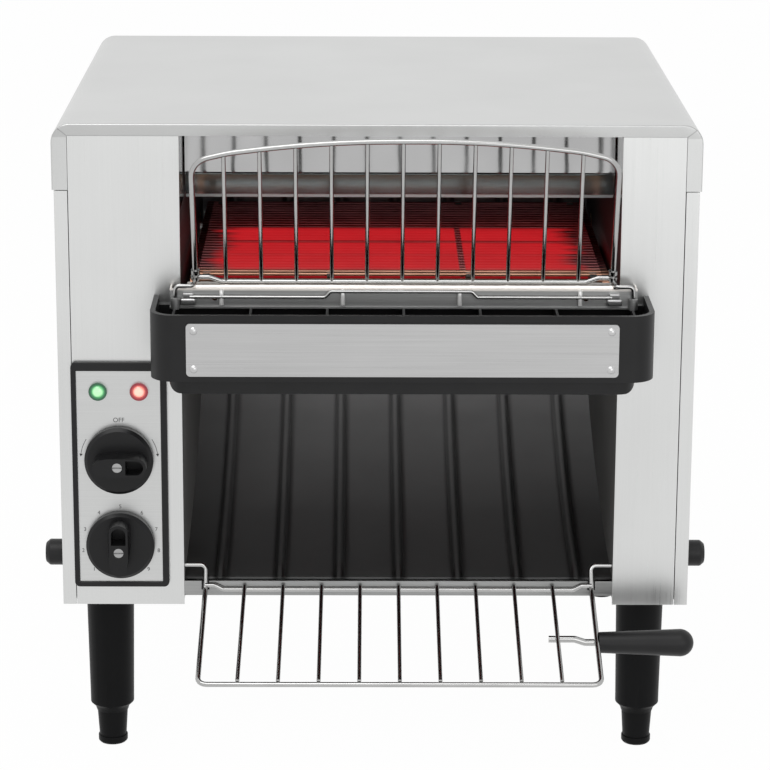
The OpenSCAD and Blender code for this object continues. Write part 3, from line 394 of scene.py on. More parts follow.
def polished_sheet(name):
    """Bright rolled sheet with a slight wave; its turned-in lower slope is dulled by heat, and a painted
    highlight runs along its hem.
    """
    look = Look(name, Metallic=1.0)
    wave = look.noise(look.place, 26.0, 1.5)
    slope = look.band("z", HOOD_LIP + 1.4, HOOD_BREAK - 0.4, 0.8)
    # painted highlight: a bright, rougher line along the hem
    painted_hem_highlight = look.band("z", high=HOOD_LIP + 1.6)
    tone = look.mix(slope, look.between(wave, 0.42, 0.47),
                    look.between(wave, (0.36, 0.42, 0.43), (0.42, 0.50, 0.51)))
    gloss = look.scaled(slope, 0.08, look.scaled(wave, 0.12, 0.02))
    return look.shade(
        Base_Color=look.mix(painted_hem_highlight, tone, (0.80, 0.92, 0.92)), Normal=look.bump(wave, 0.06, 0.004),
        Roughness=look.scaled(painted_hem_highlight, 0.5, gloss))


def feed_sheet(name):
    """Brushed sheet in front of the belt, with a painted highlight as a bright strip along its upper bend."""
    look = Look(name, Roughness=0.42)
    grain = look.skin("brushed", Stretch=ALONG["x"], Depth=0.06)
    face = look.between(grain["Streaks"], (0.34, 0.345, 0.345), (0.45, 0.45, 0.445))
    # painted highlight: a bright, near-matt strip along the upper bend
    painted_strip_highlight = look.between(grain["Streaks"], (0.84, 0.79, 0.74), (0.96, 0.92, 0.88))
    painted_highlight_band = look.band("z", FEED_TOP - 1.2)
    return look.shade(Base_Color=look.mix(painted_highlight_band, face, painted_strip_highlight), Normal=grain["Normal"],
                      Metallic=look.scaled(painted_highlight_band, -0.8, 1.0))


# Painted shade across a pressed rib, as (distance from its middle, share of the coat's colour)
RIB_FLANK_SHADE = (
    (-5.2, 1.0), (-3.6, 0.15), (-1.7, 0.15), (-0.8, 1.0), (0.6, 1.0), (1.4, 0.13), (4.0, 0.13), (6.4, 1.0))


def ribbed_coat(name):
    """Black non-stick coat, with painted shade along both flanks of each pressed rib and painted light
    growing towards the rear.
    """
    look = Look(name, Specular_IOR_Level=0.6)
    skin = look.skin("moulded", Depth=0.03)
    coat = look.between(skin["Mottle"], 0.054, 0.060)
    across = look.math("SUBTRACT", look.axis("x"), MOUTH_X - RIB_PITCH / 2)
    across = look.math("DIVIDE", look.math("FLOORED_MODULO", across, RIB_PITCH), RIB_PITCH)
    # painted shade: both flanks of each rib are darkened
    flank_shade = look.ramp(across, [(0.5 + reach / RIB_PITCH, share) for reach, share in RIB_FLANK_SHADE])
    # painted light: the coat is painted darker at the front and lighter towards the rear, where the painted
    # flank shade lies thinner
    rear = look.math("DIVIDE", look.math("SUBTRACT", look.axis("y"), 20.0), 160.0, use_clamp=True)
    flank_shade = look.mix(look.math("MULTIPLY", rear, 0.45), flank_shade, 1.0)
    coat = look.mix(1.0, coat, look.ramp(rear, [(0.0, 0.36), (0.45, 0.68), (1.0, 1.75)]), "MULTIPLY")
    return look.shade(
        Base_Color=look.mix(1.0, coat, flank_shade, "MULTIPLY"), Normal=skin["Normal"],
        Roughness=look.scaled(skin["Marks"], 0.03, 0.29))


def glowing_panel(name):
    """Quartz face over hot wires: even red with faint bands across the belt, cooler at its front edge."""
    heat = bpy.context.scene.toaster_heat
    look = Look(name, Base_Color=(0.02, 0.004, 0.004), Roughness=0.5, Emission_Strength=heat.glow_strength)
    tone = look.between(look.streaks((3.0, 420.0, 420.0), 3.0), times(heat.glow_colour, 0.82),
                        times(heat.glow_colour, 1.08))
    top = (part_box("lower_elements")[1].z - CASING_BOTTOM) / MM
    face = look.math("MULTIPLY", look.band("z", top - 1.2, edge=0.2), look.band("y", 52.0, edge=16.0))
    return look.shade(Emission_Color=look.mix(face, 0.0, tone))


# Painted glow on the belt's upper wires, standing in for the glowing panels below: its ends, the painted
# shade over the gaps between the three panels as (y, share), and the bar below whose shadow is painted on it
GLOW_LEFT, GLOW_RIGHT = -96.5, 122.5
GLOW_FRONT, GLOW_REAR = 32.0, 143.0
PAINTED_GAP_SHADES = ((37.5, 0.30), (70.5, 0.14), (106.5, 0.62))
BELT_RAIL_X = 50.0


def painted_glow_belt_wire(name):
    """Belt wire: a painted warm reflection at the front, darker behind, and a painted glow over the panels.
    """
    heat = bpy.context.scene.toaster_heat
    look = Look(name, Emission_Strength=heat.glow_strength)
    mottle = look.skin("moulded", Grain=700.0, Depth=0.1)["Mottle"]
    # painted reflection: the front wires are tinted orange-brown, standing in for reflected red glow and
    # front light
    painted_warm_reflection = look.between(mottle, (0.40, 0.21, 0.14), (0.64, 0.36, 0.25))
    dark_tone = look.between(mottle, (0.20, 0.070, 0.074), (0.35, 0.120, 0.125))
    bare = look.mix(look.band("y", high=GLOW_FRONT + 4.0, edge=12.0), dark_tone, painted_warm_reflection)
    # the painted glow's two ends fade unevenly from wire to wire
    wander = look.scaled(look.streaks((2.0, 260.0, 2.0), 2.0), 30.0, -15.0)
    mask = look.band(look.math("ADD", look.axis("x"), wander), GLOW_LEFT, GLOW_RIGHT, 12.0)
    mask = look.math("MULTIPLY", mask, look.band("y", GLOW_FRONT, GLOW_REAR, 2.0))
    # painted shade over the gaps between the three panels
    for middle, share in PAINTED_GAP_SHADES:
        mask = look.dimmed(mask, share, look.band("y", middle - 2.5, middle + 2.5, 1.5))
    mask = look.math("MULTIPLY", mask, look.band("z", BELT_TOP - 4.0, edge=2.0))
    # painted shadow of the belt rail across the painted glow
    mask = look.dimmed(mask, 0.93, look.band("x", BELT_RAIL_X - 2.2, BELT_RAIL_X + 2.2, 0.8))
    glow = look.mix(1.0, look.mix(mask, 0.0, heat.glow_colour),
                    look.between(look.noise(look.place, 34.0, 2.0), 0.88, 1.0), "MULTIPLY")
    return look.shade(
        Emission_Color=glow, Base_Color=look.mix(mask, bare, (0.02, 0.003, 0.003)),
        Metallic=look.scaled(mask, -0.9, 1.0), Roughness=look.scaled(mask, 0.3, 0.36))


def lamp_lens(name, x, rim, middle, core):
    """Lit panel lamp: bright middle fading to a saturated rim."""
    look = Look(name, Roughness=0.12, Coat_Weight=0.6, Coat_Roughness=0.05, Emission_Strength=0.78)
    out = look.vector("SUBTRACT", look.place, at(x, 0.0, LAMP_Z))
    reach = look.vector("LENGTH", look.vector("MULTIPLY", out, (200.0, 0.0, 200.0)), output="Value")
    dark = times(rim, 0.5)
    glow = look.ramp(reach, [(0.0, core), (0.42, core), (0.66, middle), (0.84, rim), (1.0, dark)])
    return look.shade(
        Emission_Color=glow,
        Base_Color=look.ramp(reach, [(0.0, middle), (0.5, middle), (0.75, dark)]))


FINISHES = {}
# every finish as its maker and what that takes after the name
FINISH_MAKERS = {
    # stainless is the cover's steel painted 12% lighter, as painted light on the pillars, sides and rear
    # panel
    "stainless": lambda name: brushed_steel(name, steel(1.12), "z", contrast=0.018),
    # the cover sheet gets painted shade on its front lip, 0.82 of its colour
    "cover_sheet": lambda name: brushed_steel(name, steel(), "y", 0.34, 0.05, 0.03, 0.82),
    "side_sheet": lambda name: brushed_steel(name, steel(), "y", contrast=0.03),
    "base_sheet": lambda name: brushed_steel(name, steel(0.57), "x"),
    "feed_sheet": feed_sheet,
    "seam_shadow": (plain_finish, 0.24, 0.6),
    "warm_steel": (plain_finish, (0.90, 0.85, 0.80), 0.30, 1.0, 0.04),
    "bright_pin": (plain_finish, (0.80, 0.80, 0.79), 0.35, 0.35, 0.05),
    "brushed_plate": (brushed_steel, 0.50, "x", 0.30, 0.06, 0.07),
    "control_plate": (brushed_steel, [0.60, 0.605, 0.60], "x", 0.34, 0.04, 0.05),
    "polished_sheet": polished_sheet,
    "dark_steel": (brushed_steel, [0.10, 0.085, 0.08], "y", 0.38, 0.06, 0.2),
    "oven_wall": banded_wall,
    "element_sheath": (plain_finish, (0.10, 0.035, 0.025), 0.6, 0.4, 0.3),
    "element_glow": glowing_panel,
    "ceramic": (plain_finish, (0.62, 0.58, 0.50), 0.35, 0.0, 0.06),
    "insulation": (plain_finish, (0.55, 0.5, 0.4), 0.95, 0.0, 0.2),
    "belt_wire": painted_glow_belt_wire,
    "rack_wire": (bright_wire, (0.46, 0.46, 0.455)),
    "shaft_steel": (bright_wire, 0.55, 0.25),
    "bronze": (plain_finish, (0.42, 0.27, 0.12), 0.45, 1.0),
    "sprocket_steel": (plain_finish, (0.20, 0.19, 0.18), 0.4, 1.0, 0.2),
    "motor_grey": (moulding, (0.09, 0.095, 0.10), 0.5, 0.3),
    "black_moulding": (moulding, (0.0075, 0.0075, 0.008), 0.42, 0.10, 0.18, 0.30),
    "knob_black": (moulding, (0.006, 0.006, 0.0065), 0.34, 0.05, 0.15, 0.28),
    "black_enamel": ribbed_coat,
    "leg_black": (moulding, (0.0034, 0.0035, 0.0038), 0.44, 0.12, 0.18, 0.11),
    "switch_body": (moulding, (0.55, 0.53, 0.46)),
    "control_body": (moulding, (0.06, 0.07, 0.09)),
    "board_green": (moulding, (0.02, 0.11, 0.05), 0.4),
    "fan_black": (moulding, (0.012, 0.012, 0.013)),
    "lens_green": (lamp_lens, LAMP_XS[0], (0.004, 0.10, 0.035), (0.16, 0.52, 0.22), (0.56, 0.82, 0.50)),
    "lens_red": (lamp_lens, LAMP_XS[1], (0.30, 0.008, 0.022), (0.80, 0.24, 0.20), (0.92, 0.70, 0.54)),
    "screw_steel": (bright_wire, 0.58, 0.28),
    "clamp_screw": (bright_wire, 0.40, 0.30),
    "ink": (ink, (0.022, 0.022, 0.024)),
}


def finish(name):
    if name not in FINISHES:
        label, maker = name.replace("_", " ").capitalize(), FINISH_MAKERS[name]
        FINISHES[name] = maker(label) if callable(maker) else maker[0](label, *maker[1:])
    return FINISHES[name]


# ---------------- meshes
def graded(stops, place):
    """Value at a place between stops given as (place, value); the last stop's value holds beyond it."""
    for (low, start), (high, end) in zip(stops, stops[1:]):
        if place <= high:
            return start + (end - start) * (place - low) / (high - low)
    return stops[-1][1]


def verts_of(geometry):
    return [g for g in geometry if isinstance(g, bmesh.types.BMVert)]


def folds_of(edges, angle):
    """Edges whose two faces meet at more than the angle, in degrees."""
    return [e for e in edges if len(e.link_faces) == 2 and e.calc_face_angle(0.0) > radians(angle)]


def round_edges(bm, edges, width, segments):
    bmesh.ops.bevel(bm, geom=edges, offset=width * MM, offset_type="OFFSET", segments=segments, profile=0.5,
                    affect="EDGES", clamp_overlap=True, material=-1)


def thicken(piece, thickness):
    """Gives a one-sided sheet its thickness, on the side away from its normals."""
    solid = piece.modifiers.new("Sheet thickness", "SOLIDIFY")
    solid.thickness = thickness * MM
    solid.offset = -1.0


def in_scene(name, data):
    made = bpy.data.objects.new(name, data)
    bpy.context.scene.collection.objects.link(made)
    return made


def add_mesh_of(bm, helper_data, place=Matrix()):
    """Adds the mesh of a curve or text to bm at a place; its data is then removed."""
    helper = in_scene(helper_data.name, helper_data)
    bpy.context.view_layer.update()
    mesh = bpy.data.meshes.new_from_object(helper.evaluated_get(bpy.context.evaluated_depsgraph_get()))
    mesh.transform(place)
    bm.from_mesh(mesh)
    bpy.data.objects.remove(helper)
    bpy.data.curves.remove(helper_data)
    bpy.data.meshes.remove(mesh)


def finished(name, bm, look, *stands_for, body="casing", slot=None, sharp=32.0, weighted=True):
    """Turns a bmesh in the row frame into a finished piece, on its nodes' body where it stands for any."""
    for face in bm.faces:
        face.smooth = True
    for edge in bm.edges:
        edge.smooth = len(edge.link_faces) == 2 and edge.calc_face_angle(0.0) < radians(sharp)
    mesh = bpy.data.meshes.new(name)
    bm.to_mesh(mesh)
    bm.free()
    mesh.materials.append(finish(look))
    piece = in_scene(name, mesh)
    if weighted:
        piece.modifiers.new("Weighted normals", "WEIGHTED_NORMAL").keep_sharp = True
    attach(piece, BODY_OF[stands_for[0]] if stands_for else body)
    if stands_for:
        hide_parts(*stands_for)
    return piece


def softened(width, *cad_nodes, look=None, segments=2, angle=30.0, sharp=32.0):
    """Copies of nodes with merged faces and edges rounded to width, each of which stands for its node."""
    for cad_node in cad_nodes:
        bm = bmesh.new()
        bm.from_mesh(NODES[cad_node].data)
        bmesh.ops.remove_doubles(bm, verts=bm.verts, dist=2e-6)
        bmesh.ops.dissolve_limit(bm, angle_limit=radians(0.4), verts=bm.verts, edges=bm.edges)
        if width:
            round_edges(bm, folds_of(bm.edges, angle), width, segments)
        finished(f"{cad_node}_finish", bm, look or SLOT_OF[cad_node], cad_node, sharp=sharp)


def rounded_box(bm, low, high, radius, segments=3):
    """Box between two casing corners with rounded edges, added to bm."""
    a, b = at(*low), at(*high)
    made = bmesh.ops.create_cube(bm, size=1.0, matrix=Matrix.LocRotScale((a + b) / 2, None, b - a))["verts"]
    if radius:
        round_edges(bm, list({e for v in made for e in v.link_edges}), radius, segments)


STRAIGHT = 1e-4  # turn, in radians, below which two runs are one


def bezier_run(curve, points, bends, radius):
    """Adds one bent wire to a curve: straight runs between the points, with round bends."""
    points = [Vector(p) for p in points]
    # each station is a place with its left and right handles, where None is a straight run's
    stations = [(points[0], None, None)]
    for previous, corner, following, bend in zip(points, points[1:], points[2:], bends):
        before, after = (corner - previous).normalized(), (following - corner).normalized()
        turn = acos(max(-1.0, min(1.0, before.dot(after))))
        if turn < STRAIGHT:
            continue
        trim, reach = bend * tan(turn / 2), bend * tan(turn / 4) * 4.0 / 3.0
        start, end = corner - before * trim, corner + after * trim
        stations += [(start, None, start + before * reach), (end, end - after * reach, None)]
    stations.append((points[-1], None, None))
    spline = curve.splines.new("BEZIER")
    spline.bezier_points.add(len(stations) - 1)
    ends = [place for place, _, _ in stations]
    for point, (place, left, right), previous, following in zip(
            spline.bezier_points, stations, ends[:1] + ends, ends[1:] + ends[-1:]):
        point.handle_left_type = point.handle_right_type = "FREE"
        point.co = at(*place)
        point.handle_left = at(*(left or place.lerp(previous, 1 / 3)))
        point.handle_right = at(*(right or place.lerp(following, 1 / 3)))
        point.radius = radius


def wire_piece(name, runs, *stands_for, look="rack_wire", smooth_steps=5):
    """One mesh of bent wires, each given as (points, bends, radius) in casing millimetres."""
    curve = bpy.data.curves.new(name, "CURVE")
    curve.dimensions = "3D"
    curve.bevel_depth = MM
    curve.bevel_resolution = bpy.context.scene.toaster_wires.facets
    curve.resolution_u = smooth_steps
    curve.use_fill_caps = True
    for points, bends, radius in runs:
        bezier_run(curve, points, bends, radius)
    bm = bmesh.new()
    add_mesh_of(bm, curve)
    bmesh.ops.remove_doubles(bm, verts=bm.verts, dist=1e-6)
    bmesh.ops.recalc_face_normals(bm, faces=bm.faces)
    finished(name, bm, look, *stands_for, slot="rack_wire", sharp=50.0, weighted=False)


def folded_sheet(bm, line, thickness, x0, x1, bend, segments=4):
    """Sheet folded along a line of points in Y and Z, between x0 and x1, added to bm."""
    verts = [bm.verts.new(at(x0, y, z)) for y, z in line]
    lines = [bm.edges.new(pair) for pair in zip(verts, verts[1:])]
    swept = bmesh.ops.extrude_edge_only(bm, edges=lines)["geom"]
    bmesh.ops.translate(bm, vec=((x1 - x0) * MM, 0, 0), verts=verts_of(swept))
    round_edges(bm, folds_of(bm.edges, 8), bend, segments)
    bmesh.ops.solidify(bm, geom=bm.faces[:], thickness=thickness * MM)


# ---------------- casing
class TOASTER_OT_cover(bpy.types.Operator):
    """Builds the top cover with rounded long edges and folded lips"""

    bl_idname = "toaster.cover"
    bl_label = "Top cover"

    def execute(self, context):
        sheet = context.scene.toaster_casing
        bm = bmesh.new()
        skirt_low, lip, edge = HEIGHT - 38.0, 6.8, 9.0
        corners = [bm.verts.new(at(x, 0.0, z)) for x, z in (
            (-HALF_WIDTH, skirt_low), (-HALF_WIDTH, HEIGHT), (HALF_WIDTH, HEIGHT), (HALF_WIDTH, skirt_low))]
        front = [bm.edges.new(pair) for pair in zip(corners, corners[1:])]
        swept = bmesh.ops.extrude_edge_only(bm, edges=front)["geom"]
        bmesh.ops.translate(bm, vec=(0, DEPTH * MM, 0), verts=verts_of(swept))
        rear = [g for g in swept
                if isinstance(g, bmesh.types.BMEdge) and abs(g.verts[0].co.y - g.verts[1].co.y) < 1e-6]
        # folded lips round both open ends
        for rim in (front, rear):
            folded = bmesh.ops.extrude_edge_only(bm, edges=rim)["geom"]
            for vert in verts_of(folded):
                vert.co.x -= copysign(edge * MM, vert.co.x)
                if vert.co.z > at(0, 0, HEIGHT - 1.0).z:
                    vert.co.z -= lip * MM
        bmesh.ops.recalc_face_normals(bm, faces=bm.faces)
        long_edges = [e for e in bm.edges if len(e.link_faces) == 2
                      and abs((e.verts[0].co - e.verts[1].co).normalized().y) > 0.9]
        round_edges(bm, long_edges, sheet.cover_radius, 8)
        round_edges(bm, folds_of(bm.edges, 60), sheet.fold_radius, 3)
        piece = finished("cover_shell", bm, "cover_sheet", "top_cover")
        thicken(piece, 1.2)
        # mitre seams of the lip at both upper front corners
        bm = bmesh.new()
        for side in (-1, 1):
            seam = Matrix.LocRotScale(
                at(side * (HALF_WIDTH - 6.4), -0.02, HEIGHT - 4.7),
                Matrix.Rotation(radians(side * 52.0), 3, "Y"), Vector((0.28, 0.1, 6.4)) * MM)
            bmesh.ops.create_cube(bm, size=1.0, matrix=seam)
        finished("corner_seams", bm, "seam_shadow", slot=SLOT_OF["top_cover"])
        return {"FINISHED"}


class TOASTER_OT_casing_sheets(bpy.types.Operator):
    """Rounds the folded edges of the sides, pillars, rear and base"""

    bl_idname = "toaster.casing_sheets"
    bl_label = "Casing sheets"

    def execute(self, context):
        fold = context.scene.toaster_casing.fold_radius
        softened(fold * 0.5, "side_panel_left", "side_panel_right", look="stainless")
        softened(0.2, "front_panel_left", "front_panel_right", look="stainless")
        softened(0.3, "rear_panel", look="stainless")
        softened(0.4, "base_plate", look="base_sheet")
        softened(0.0, "inner_wall_left", "inner_wall_right", look="oven_wall")
        softened(0.3, "crumb_tray", look="base_sheet")
        return {"FINISHED"}


# ---------------- oven
class TOASTER_OT_oven(bpy.types.Operator):
    """Builds the polished hood and finishes the heating panels"""

    bl_idname = "toaster.oven"
    bl_label = "Hood and heating panels"

    def execute(self, context):
        bm = bmesh.new()
        folded_sheet(bm, [(2.0, HEIGHT - 5.3), (45.0, HEIGHT - 5.3), (45.0, HOOD_BREAK), (52.8, HOOD_LIP)],
                     1.2, MOUTH_LEFT + 0.8, MOUTH_RIGHT - 0.8, 1.6)
        finished("hood_sheet", bm, "polished_sheet", "hood")
        softened(0.2, "lower_elements", "element_holders", "upper_elements", "upper_reflector")
        return {"FINISHED"}


class TOASTER_OT_belt(bpy.types.Operator):
    """Finishes the wire belt, its shafts and its sprockets"""

    bl_idname = "toaster.belt"
    bl_label = "Belt and shafts"

    def execute(self, context):
        softened(0.0, "belt", sharp=50.0)
        softened(0.0, "drive_shaft", "idler_shaft", "shaft_bushes", "drive_sprockets", "idler_sprockets",
                 "motor_sprocket", "drive_chain", "belt_rail", sharp=40.0)
        return {"FINISHED"}


# ---------------- controls
def flat_text(bm, words, x, z, size):
    """Adds words as a thin flat mesh on the control plate, centred at x and z."""
    font = bpy.data.curves.new("print_line", "FONT")
    font.body = words
    font.size = size * MM
    font.align_x, font.align_y = "CENTER", "CENTER"
    font.extrude = 0.02 * MM
    upright = Matrix.Rotation(radians(90), 4, "X")
    add_mesh_of(bm, font, Matrix.Translation(at(x, PLATE_FRONT_Y - 0.03, z)) @ upright)


def printed_arc(bm, radius, start, end, width, centre_z):
    """Thin printed arc round a dial, with an arrow head at its end; angles are clockwise from the top."""
    def out(angle):
        return Vector((sin(radians(angle)), 0, cos(radians(angle))))

    middle = at(KNOB_X, PLATE_FRONT_Y - 0.05, centre_z)
    corners = [bm.verts.new(middle + out(start) * r * MM) for r in (radius - width / 2, radius + width / 2)]
    bmesh.ops.spin(bm, geom=corners + [bm.edges.new(corners)], cent=middle, axis=(0, 1, 0),
                   angle=radians(end - start), steps=12)
    ahead = out(end + copysign(90, end - start))
    turn = Matrix((ahead.cross(Vector((0, -1, 0))), ahead, Vector((0, -1, 0)))).transposed().to_4x4()
    bmesh.ops.create_circle(bm, cap_ends=True, radius=1.1 * MM, segments=3,
                            matrix=Matrix.Translation(middle + (out(end) * radius + ahead * 0.6) * MM) @ turn)


class TOASTER_OT_controls(bpy.types.Operator):
    """Finishes the control panel, its knobs, lamps and printed scales"""

    bl_idname = "toaster.controls"
    bl_label = "Controls"

    def execute(self, context):
        softened(0.7, "control_frame")
        softened(0.15, "control_plate", look="control_plate")
        softened(0.5, "selector_knob", "speed_knob", segments=3, angle=25.0)
        softened(0.0, "ready_lamp", "power_lamp", sharp=40.0)
        for knob, z in (("selector", SELECTOR_Z), ("speed", SPEED_Z)):
            spindle = f"{knob}_spindle"
            softened(0.0, spindle, look="clamp_screw", sharp=40.0)
            bm = bmesh.new()
            rounded_box(bm, (KNOB_X - SLOT_HALF[0], SCREW_SLOT_Y - 0.04, z - SLOT_HALF[1]),
                        (KNOB_X + SLOT_HALF[0], SCREW_SLOT_Y, z + SLOT_HALF[1]), 0)
            finished(f"{knob}_slot", bm, "seam_shadow", body=BODY_OF[spindle], slot=SLOT_OF[spindle])
        bm = bmesh.new()
        for side in (-1, 1):
            printed_arc(bm, ARC_RADIUS, side * 58.0, side * 82.0, 0.32, SELECTOR_Z)
        swept = bmesh.ops.extrude_face_region(bm, geom=bm.faces[:])["geom"]
        bmesh.ops.translate(bm, vec=(0, 0.04 * MM, 0), verts=verts_of(swept))
        for i in range(9):
            angle = radians(-135.0 + i * 33.75)
            flat_text(bm, str(i + 1), KNOB_X + DIGIT_RADIUS * sin(angle),
                      SPEED_Z + DIGIT_RADIUS * cos(angle), 3.3)
        flat_text(bm, "OFF", KNOB_X, SELECTOR_Z + OFF_RISE, 3.8)
        bmesh.ops.recalc_face_normals(bm, faces=bm.faces)
        finished("dial_print", bm, "ink", slot="black_moulding", weighted=False)
        return {"FINISHED"}


# ---------------- front
class TOASTER_OT_bumper(bpy.types.Operator):
    """Finishes the moulded bumper, its plate and rivets, and the feed sheet"""

    bl_idname = "toaster.bumper"
    bl_label = "Bumper and feed sheet"

    def execute(self, context):
        softened(1.1, "bumper", segments=3, angle=40.0)
        softened(0.25, "front_plate", look="brushed_plate")
        softened(0.0, "plate_rivets", sharp=40.0)
        softened(0.2, "feed_plate", look="feed_sheet", angle=40.0)
        return {"FINISHED"}


def mirrored(half, middle=0.0):
    """The line and then its mirror image, which runs back."""
    return half + [(2 * middle - x, *rest) for x, *rest in reversed(half)]


def leaning(u, v):
    """Point of the leaning loading rack: u to the right of its middle, v up its slope."""
    lean = radians(15.0)
    v *= 1.0 + ARCH_SKEW * u
    return (MOUTH_X + 2.1 + u, -5.0 - v * sin(lean), BELT_TOP + v * cos(lean))


ARCH_HALF = 118.4
GUARD_Y = -12.6
ARCH_V = 85.2 / cos(radians(15.0))
ARCH_SKEW = 0.0065 / ARCH_V


def arch_top(u):
    """Height of the arch's middle line over the rack's slope at u."""
    return ARCH_V + graded([(0, 0.3), (8, 0.3), (45, -0.8), (82, -4.2), (ARCH_HALF - 20.4, -7.3)], abs(u))


class TOASTER_OT_loading_rack(bpy.types.Operator):
    """Bends the wires of the loading rack and of the guard below it"""

    bl_idname = "toaster.loading_rack"
    bl_label = "Loading rack"

    def execute(self, context):
        wires = context.scene.toaster_wires
        arch = mirrored([(ARCH_HALF, 0.8), (ARCH_HALF + 0.9, ARCH_V - 11.8), (ARCH_HALF - 20.4, ARCH_V - 6.4),
                         (45, ARCH_V + 0.3)])
        runs = [([leaning(u, v) for u, v in arch], [12, 100, 600, 600, 100, 12], wires.arch_diameter / 2)]
        for i in range(11):
            u = (i / 10 - 0.5) * 200.0 - 1.1
            runs.append(([leaning(u, 0), leaning(u, arch_top(u))], [], 1.2))
        cross = mirrored([(-ARCH_HALF, 3.4), (8 - ARCH_HALF, 3.4), (15 - ARCH_HALF, 0.6)])
        runs.append(([leaning(u, v) for u, v in cross], [5, 5, 5, 5], 1.5))
        for side in (-1, 1):
            for v in (1.8, 5.6):
                runs.append(([leaning(side * ARCH_HALF, v), leaning(side * ARCH_HALF, v + 2.4)], [], 2.6))
        for u, x, inward in ((-ARCH_HALF, MOUTH_LEFT - 2.2, 9.6), (ARCH_HALF, MOUTH_RIGHT + 6.6, -9.6)):
            runs.append(([leaning(u, 1.2), (x + inward, GUARD_Y - 0.1, 194.6), (x, GUARD_Y - 0.1, 194.6),
                          (x, GUARD_Y - 0.1, 182.3)], [2, 2.5], 1.2))
        wire_piece("loading_rack_wires", runs, "loading_rack", smooth_steps=8)
        return {"FINISHED"}


class TOASTER_OT_feed_guard(bpy.types.Operator):
    """Bends the guard wire and its posts in front of the feed sheet"""

    bl_idname = "toaster.feed_guard"
    bl_label = "Feed guard"

    def execute(self, context):
        y, z, lift, posts = GUARD_Y, 188.2, 3.3, (-88.0, -19.3, 47.0, 115.3)
        left, right = posts[1] - 7, posts[2] + 7
        runs = [([(posts[0] - 18, y, z), (left - 3, y, z), (left, y, z + lift), (right, y, z + lift),
                  (right + 3, y, z), (posts[3] + 18, y, z)], [2, 2, 2, 2], 1.0)]
        wire_piece("feed_guard_wires", runs, "feed_guard")
        pins = [([(x, y + 0.4, 183.6), (x, y + 0.4, 191.1), (x, -10.2, 191.1)], [1.5], 1.3) for x in posts]
        wire_piece("feed_guard_posts", pins, look="bright_pin")
        bm = bmesh.new()
        for x in (MOUTH_LEFT + 5.0, MOUTH_RIGHT - 4.0):
            rounded_box(bm, (x - 4.2, y - 1.2, 183.4), (x + 4.2, y + 2.4, 187.2), 0.8)
            rounded_box(bm, (x - 3.0, y - 0.6, 187.0), (x + 3.0, y + 2.4, 190.4), 0.6)
        finished("rack_clips", bm, "screw_steel", slot="rack_wire")
        y, z = -7.6, FEED_TOP + 0.4
        nose = [([(MOUTH_LEFT + 6.6, y, z), (MOUTH_RIGHT - 4.4, y, z)], [], 1.7)]
        wire_piece("feed_nose", nose, look="warm_steel")
        return {"FINISHED"}


RACK_HALF = 114.5
RACK_REAR = (-1.4, 10.0)
RACK_FRONT = (-78.0, -20.5)
CROSS_Z = 9.6


class TOASTER_OT_toast_rack(bpy.types.Operator):
    """Bends the wires of the toast rack and finishes its grip"""

    bl_idname = "toaster.toast_rack"
    bl_label = "Toast rack"

    def execute(self, context):
        left = MOUTH_X - RACK_HALF
        side = [(MOUTH_X - MOUTH_HALF - 4, 6.0, 22.2), (left + 1.5, 6.0, 22.2), (left + 1.5, *RACK_REAR),
                (left + 0.5, *RACK_FRONT)]
        cross = [(left + x, RACK_REAR[0], CROSS_Z + z) for x, z in ((1.5, 2.6), (7, 2.6), (12, 0))]
        runs = [(mirrored(side, MOUTH_X), [3, 3, 5, 5, 3, 3], 1.5),
                (mirrored(cross, MOUTH_X), [4, 4, 4, 4], 1.3)]
        bar_start = Vector((0, RACK_REAR[0] - 0.6, CROSS_Z + 2))
        bar_end = Vector((0, RACK_FRONT[0] + 0.6, RACK_FRONT[1] + 2))
        pitch = 2 * RACK_HALF / 10
        for i in range(1, 10):
            x = left + i * pitch
            rear_x = MOUTH_X + (x - MOUTH_X) * 0.983
            runs.append(([(rear_x, *bar_start.yz), (x, *bar_end.yz)], [], 1.2))
        weld = bar_start.lerp(bar_end, 0.51)
        y, z = weld.y, weld.z - 5.0
        start = MOUTH_X + RACK_HALF - 1.25 * pitch
        runs.append(([(start, y, z + 2), (start + 14.9, y, z + 2), (start + 20.9, y, z), (136.0, y, z)],
                     [6, 6], 2.0))
        wire_piece("toast_rack_wires", runs, "toast_rack")
        softened(0.4, "rack_grip", segments=3)
        return {"FINISHED"}


CHUTE_START = (5.0, 13.8)
CHUTE_SLOPE, CHUTE_KNEE, CHUTE_TOP = 4.3, 22.6, 85.0
CHUTE_RADIUS, CHUTE_REAR_RADIUS, CHUTE_BACK = 595.0, 110.0, 106.0
CHUTE_SHEET = 1.5
RIB_RISE = 2.8
RIB_START, RIB_RUN_IN = 9.0, 5.0
# distance from a rib's middle and share of its rise
RIB_SECTION = ((0.0, 1.0), (1.8, 0.92), (3.0, 0.3), (3.6, 0.0))


def below(centre, radius, angle):
    """Point in Y and Z on an arc under its centre, where the arc slopes by the angle."""
    angle = radians(angle)
    return (centre[0] + radius * sin(angle), centre[1] - radius * cos(angle))


def rib_share(x, y):
    """Share of the ribs' rise at a point of the chute, in casing millimetres."""
    if abs(x - MOUTH_X) > 3.5 * RIB_PITCH:
        return 0.0
    away = abs((x - MOUTH_X + RIB_PITCH / 2) % RIB_PITCH - RIB_PITCH / 2)
    return graded(RIB_SECTION, away) * max(0.0, min(1.0, (y - RIB_START) / RIB_RUN_IN))


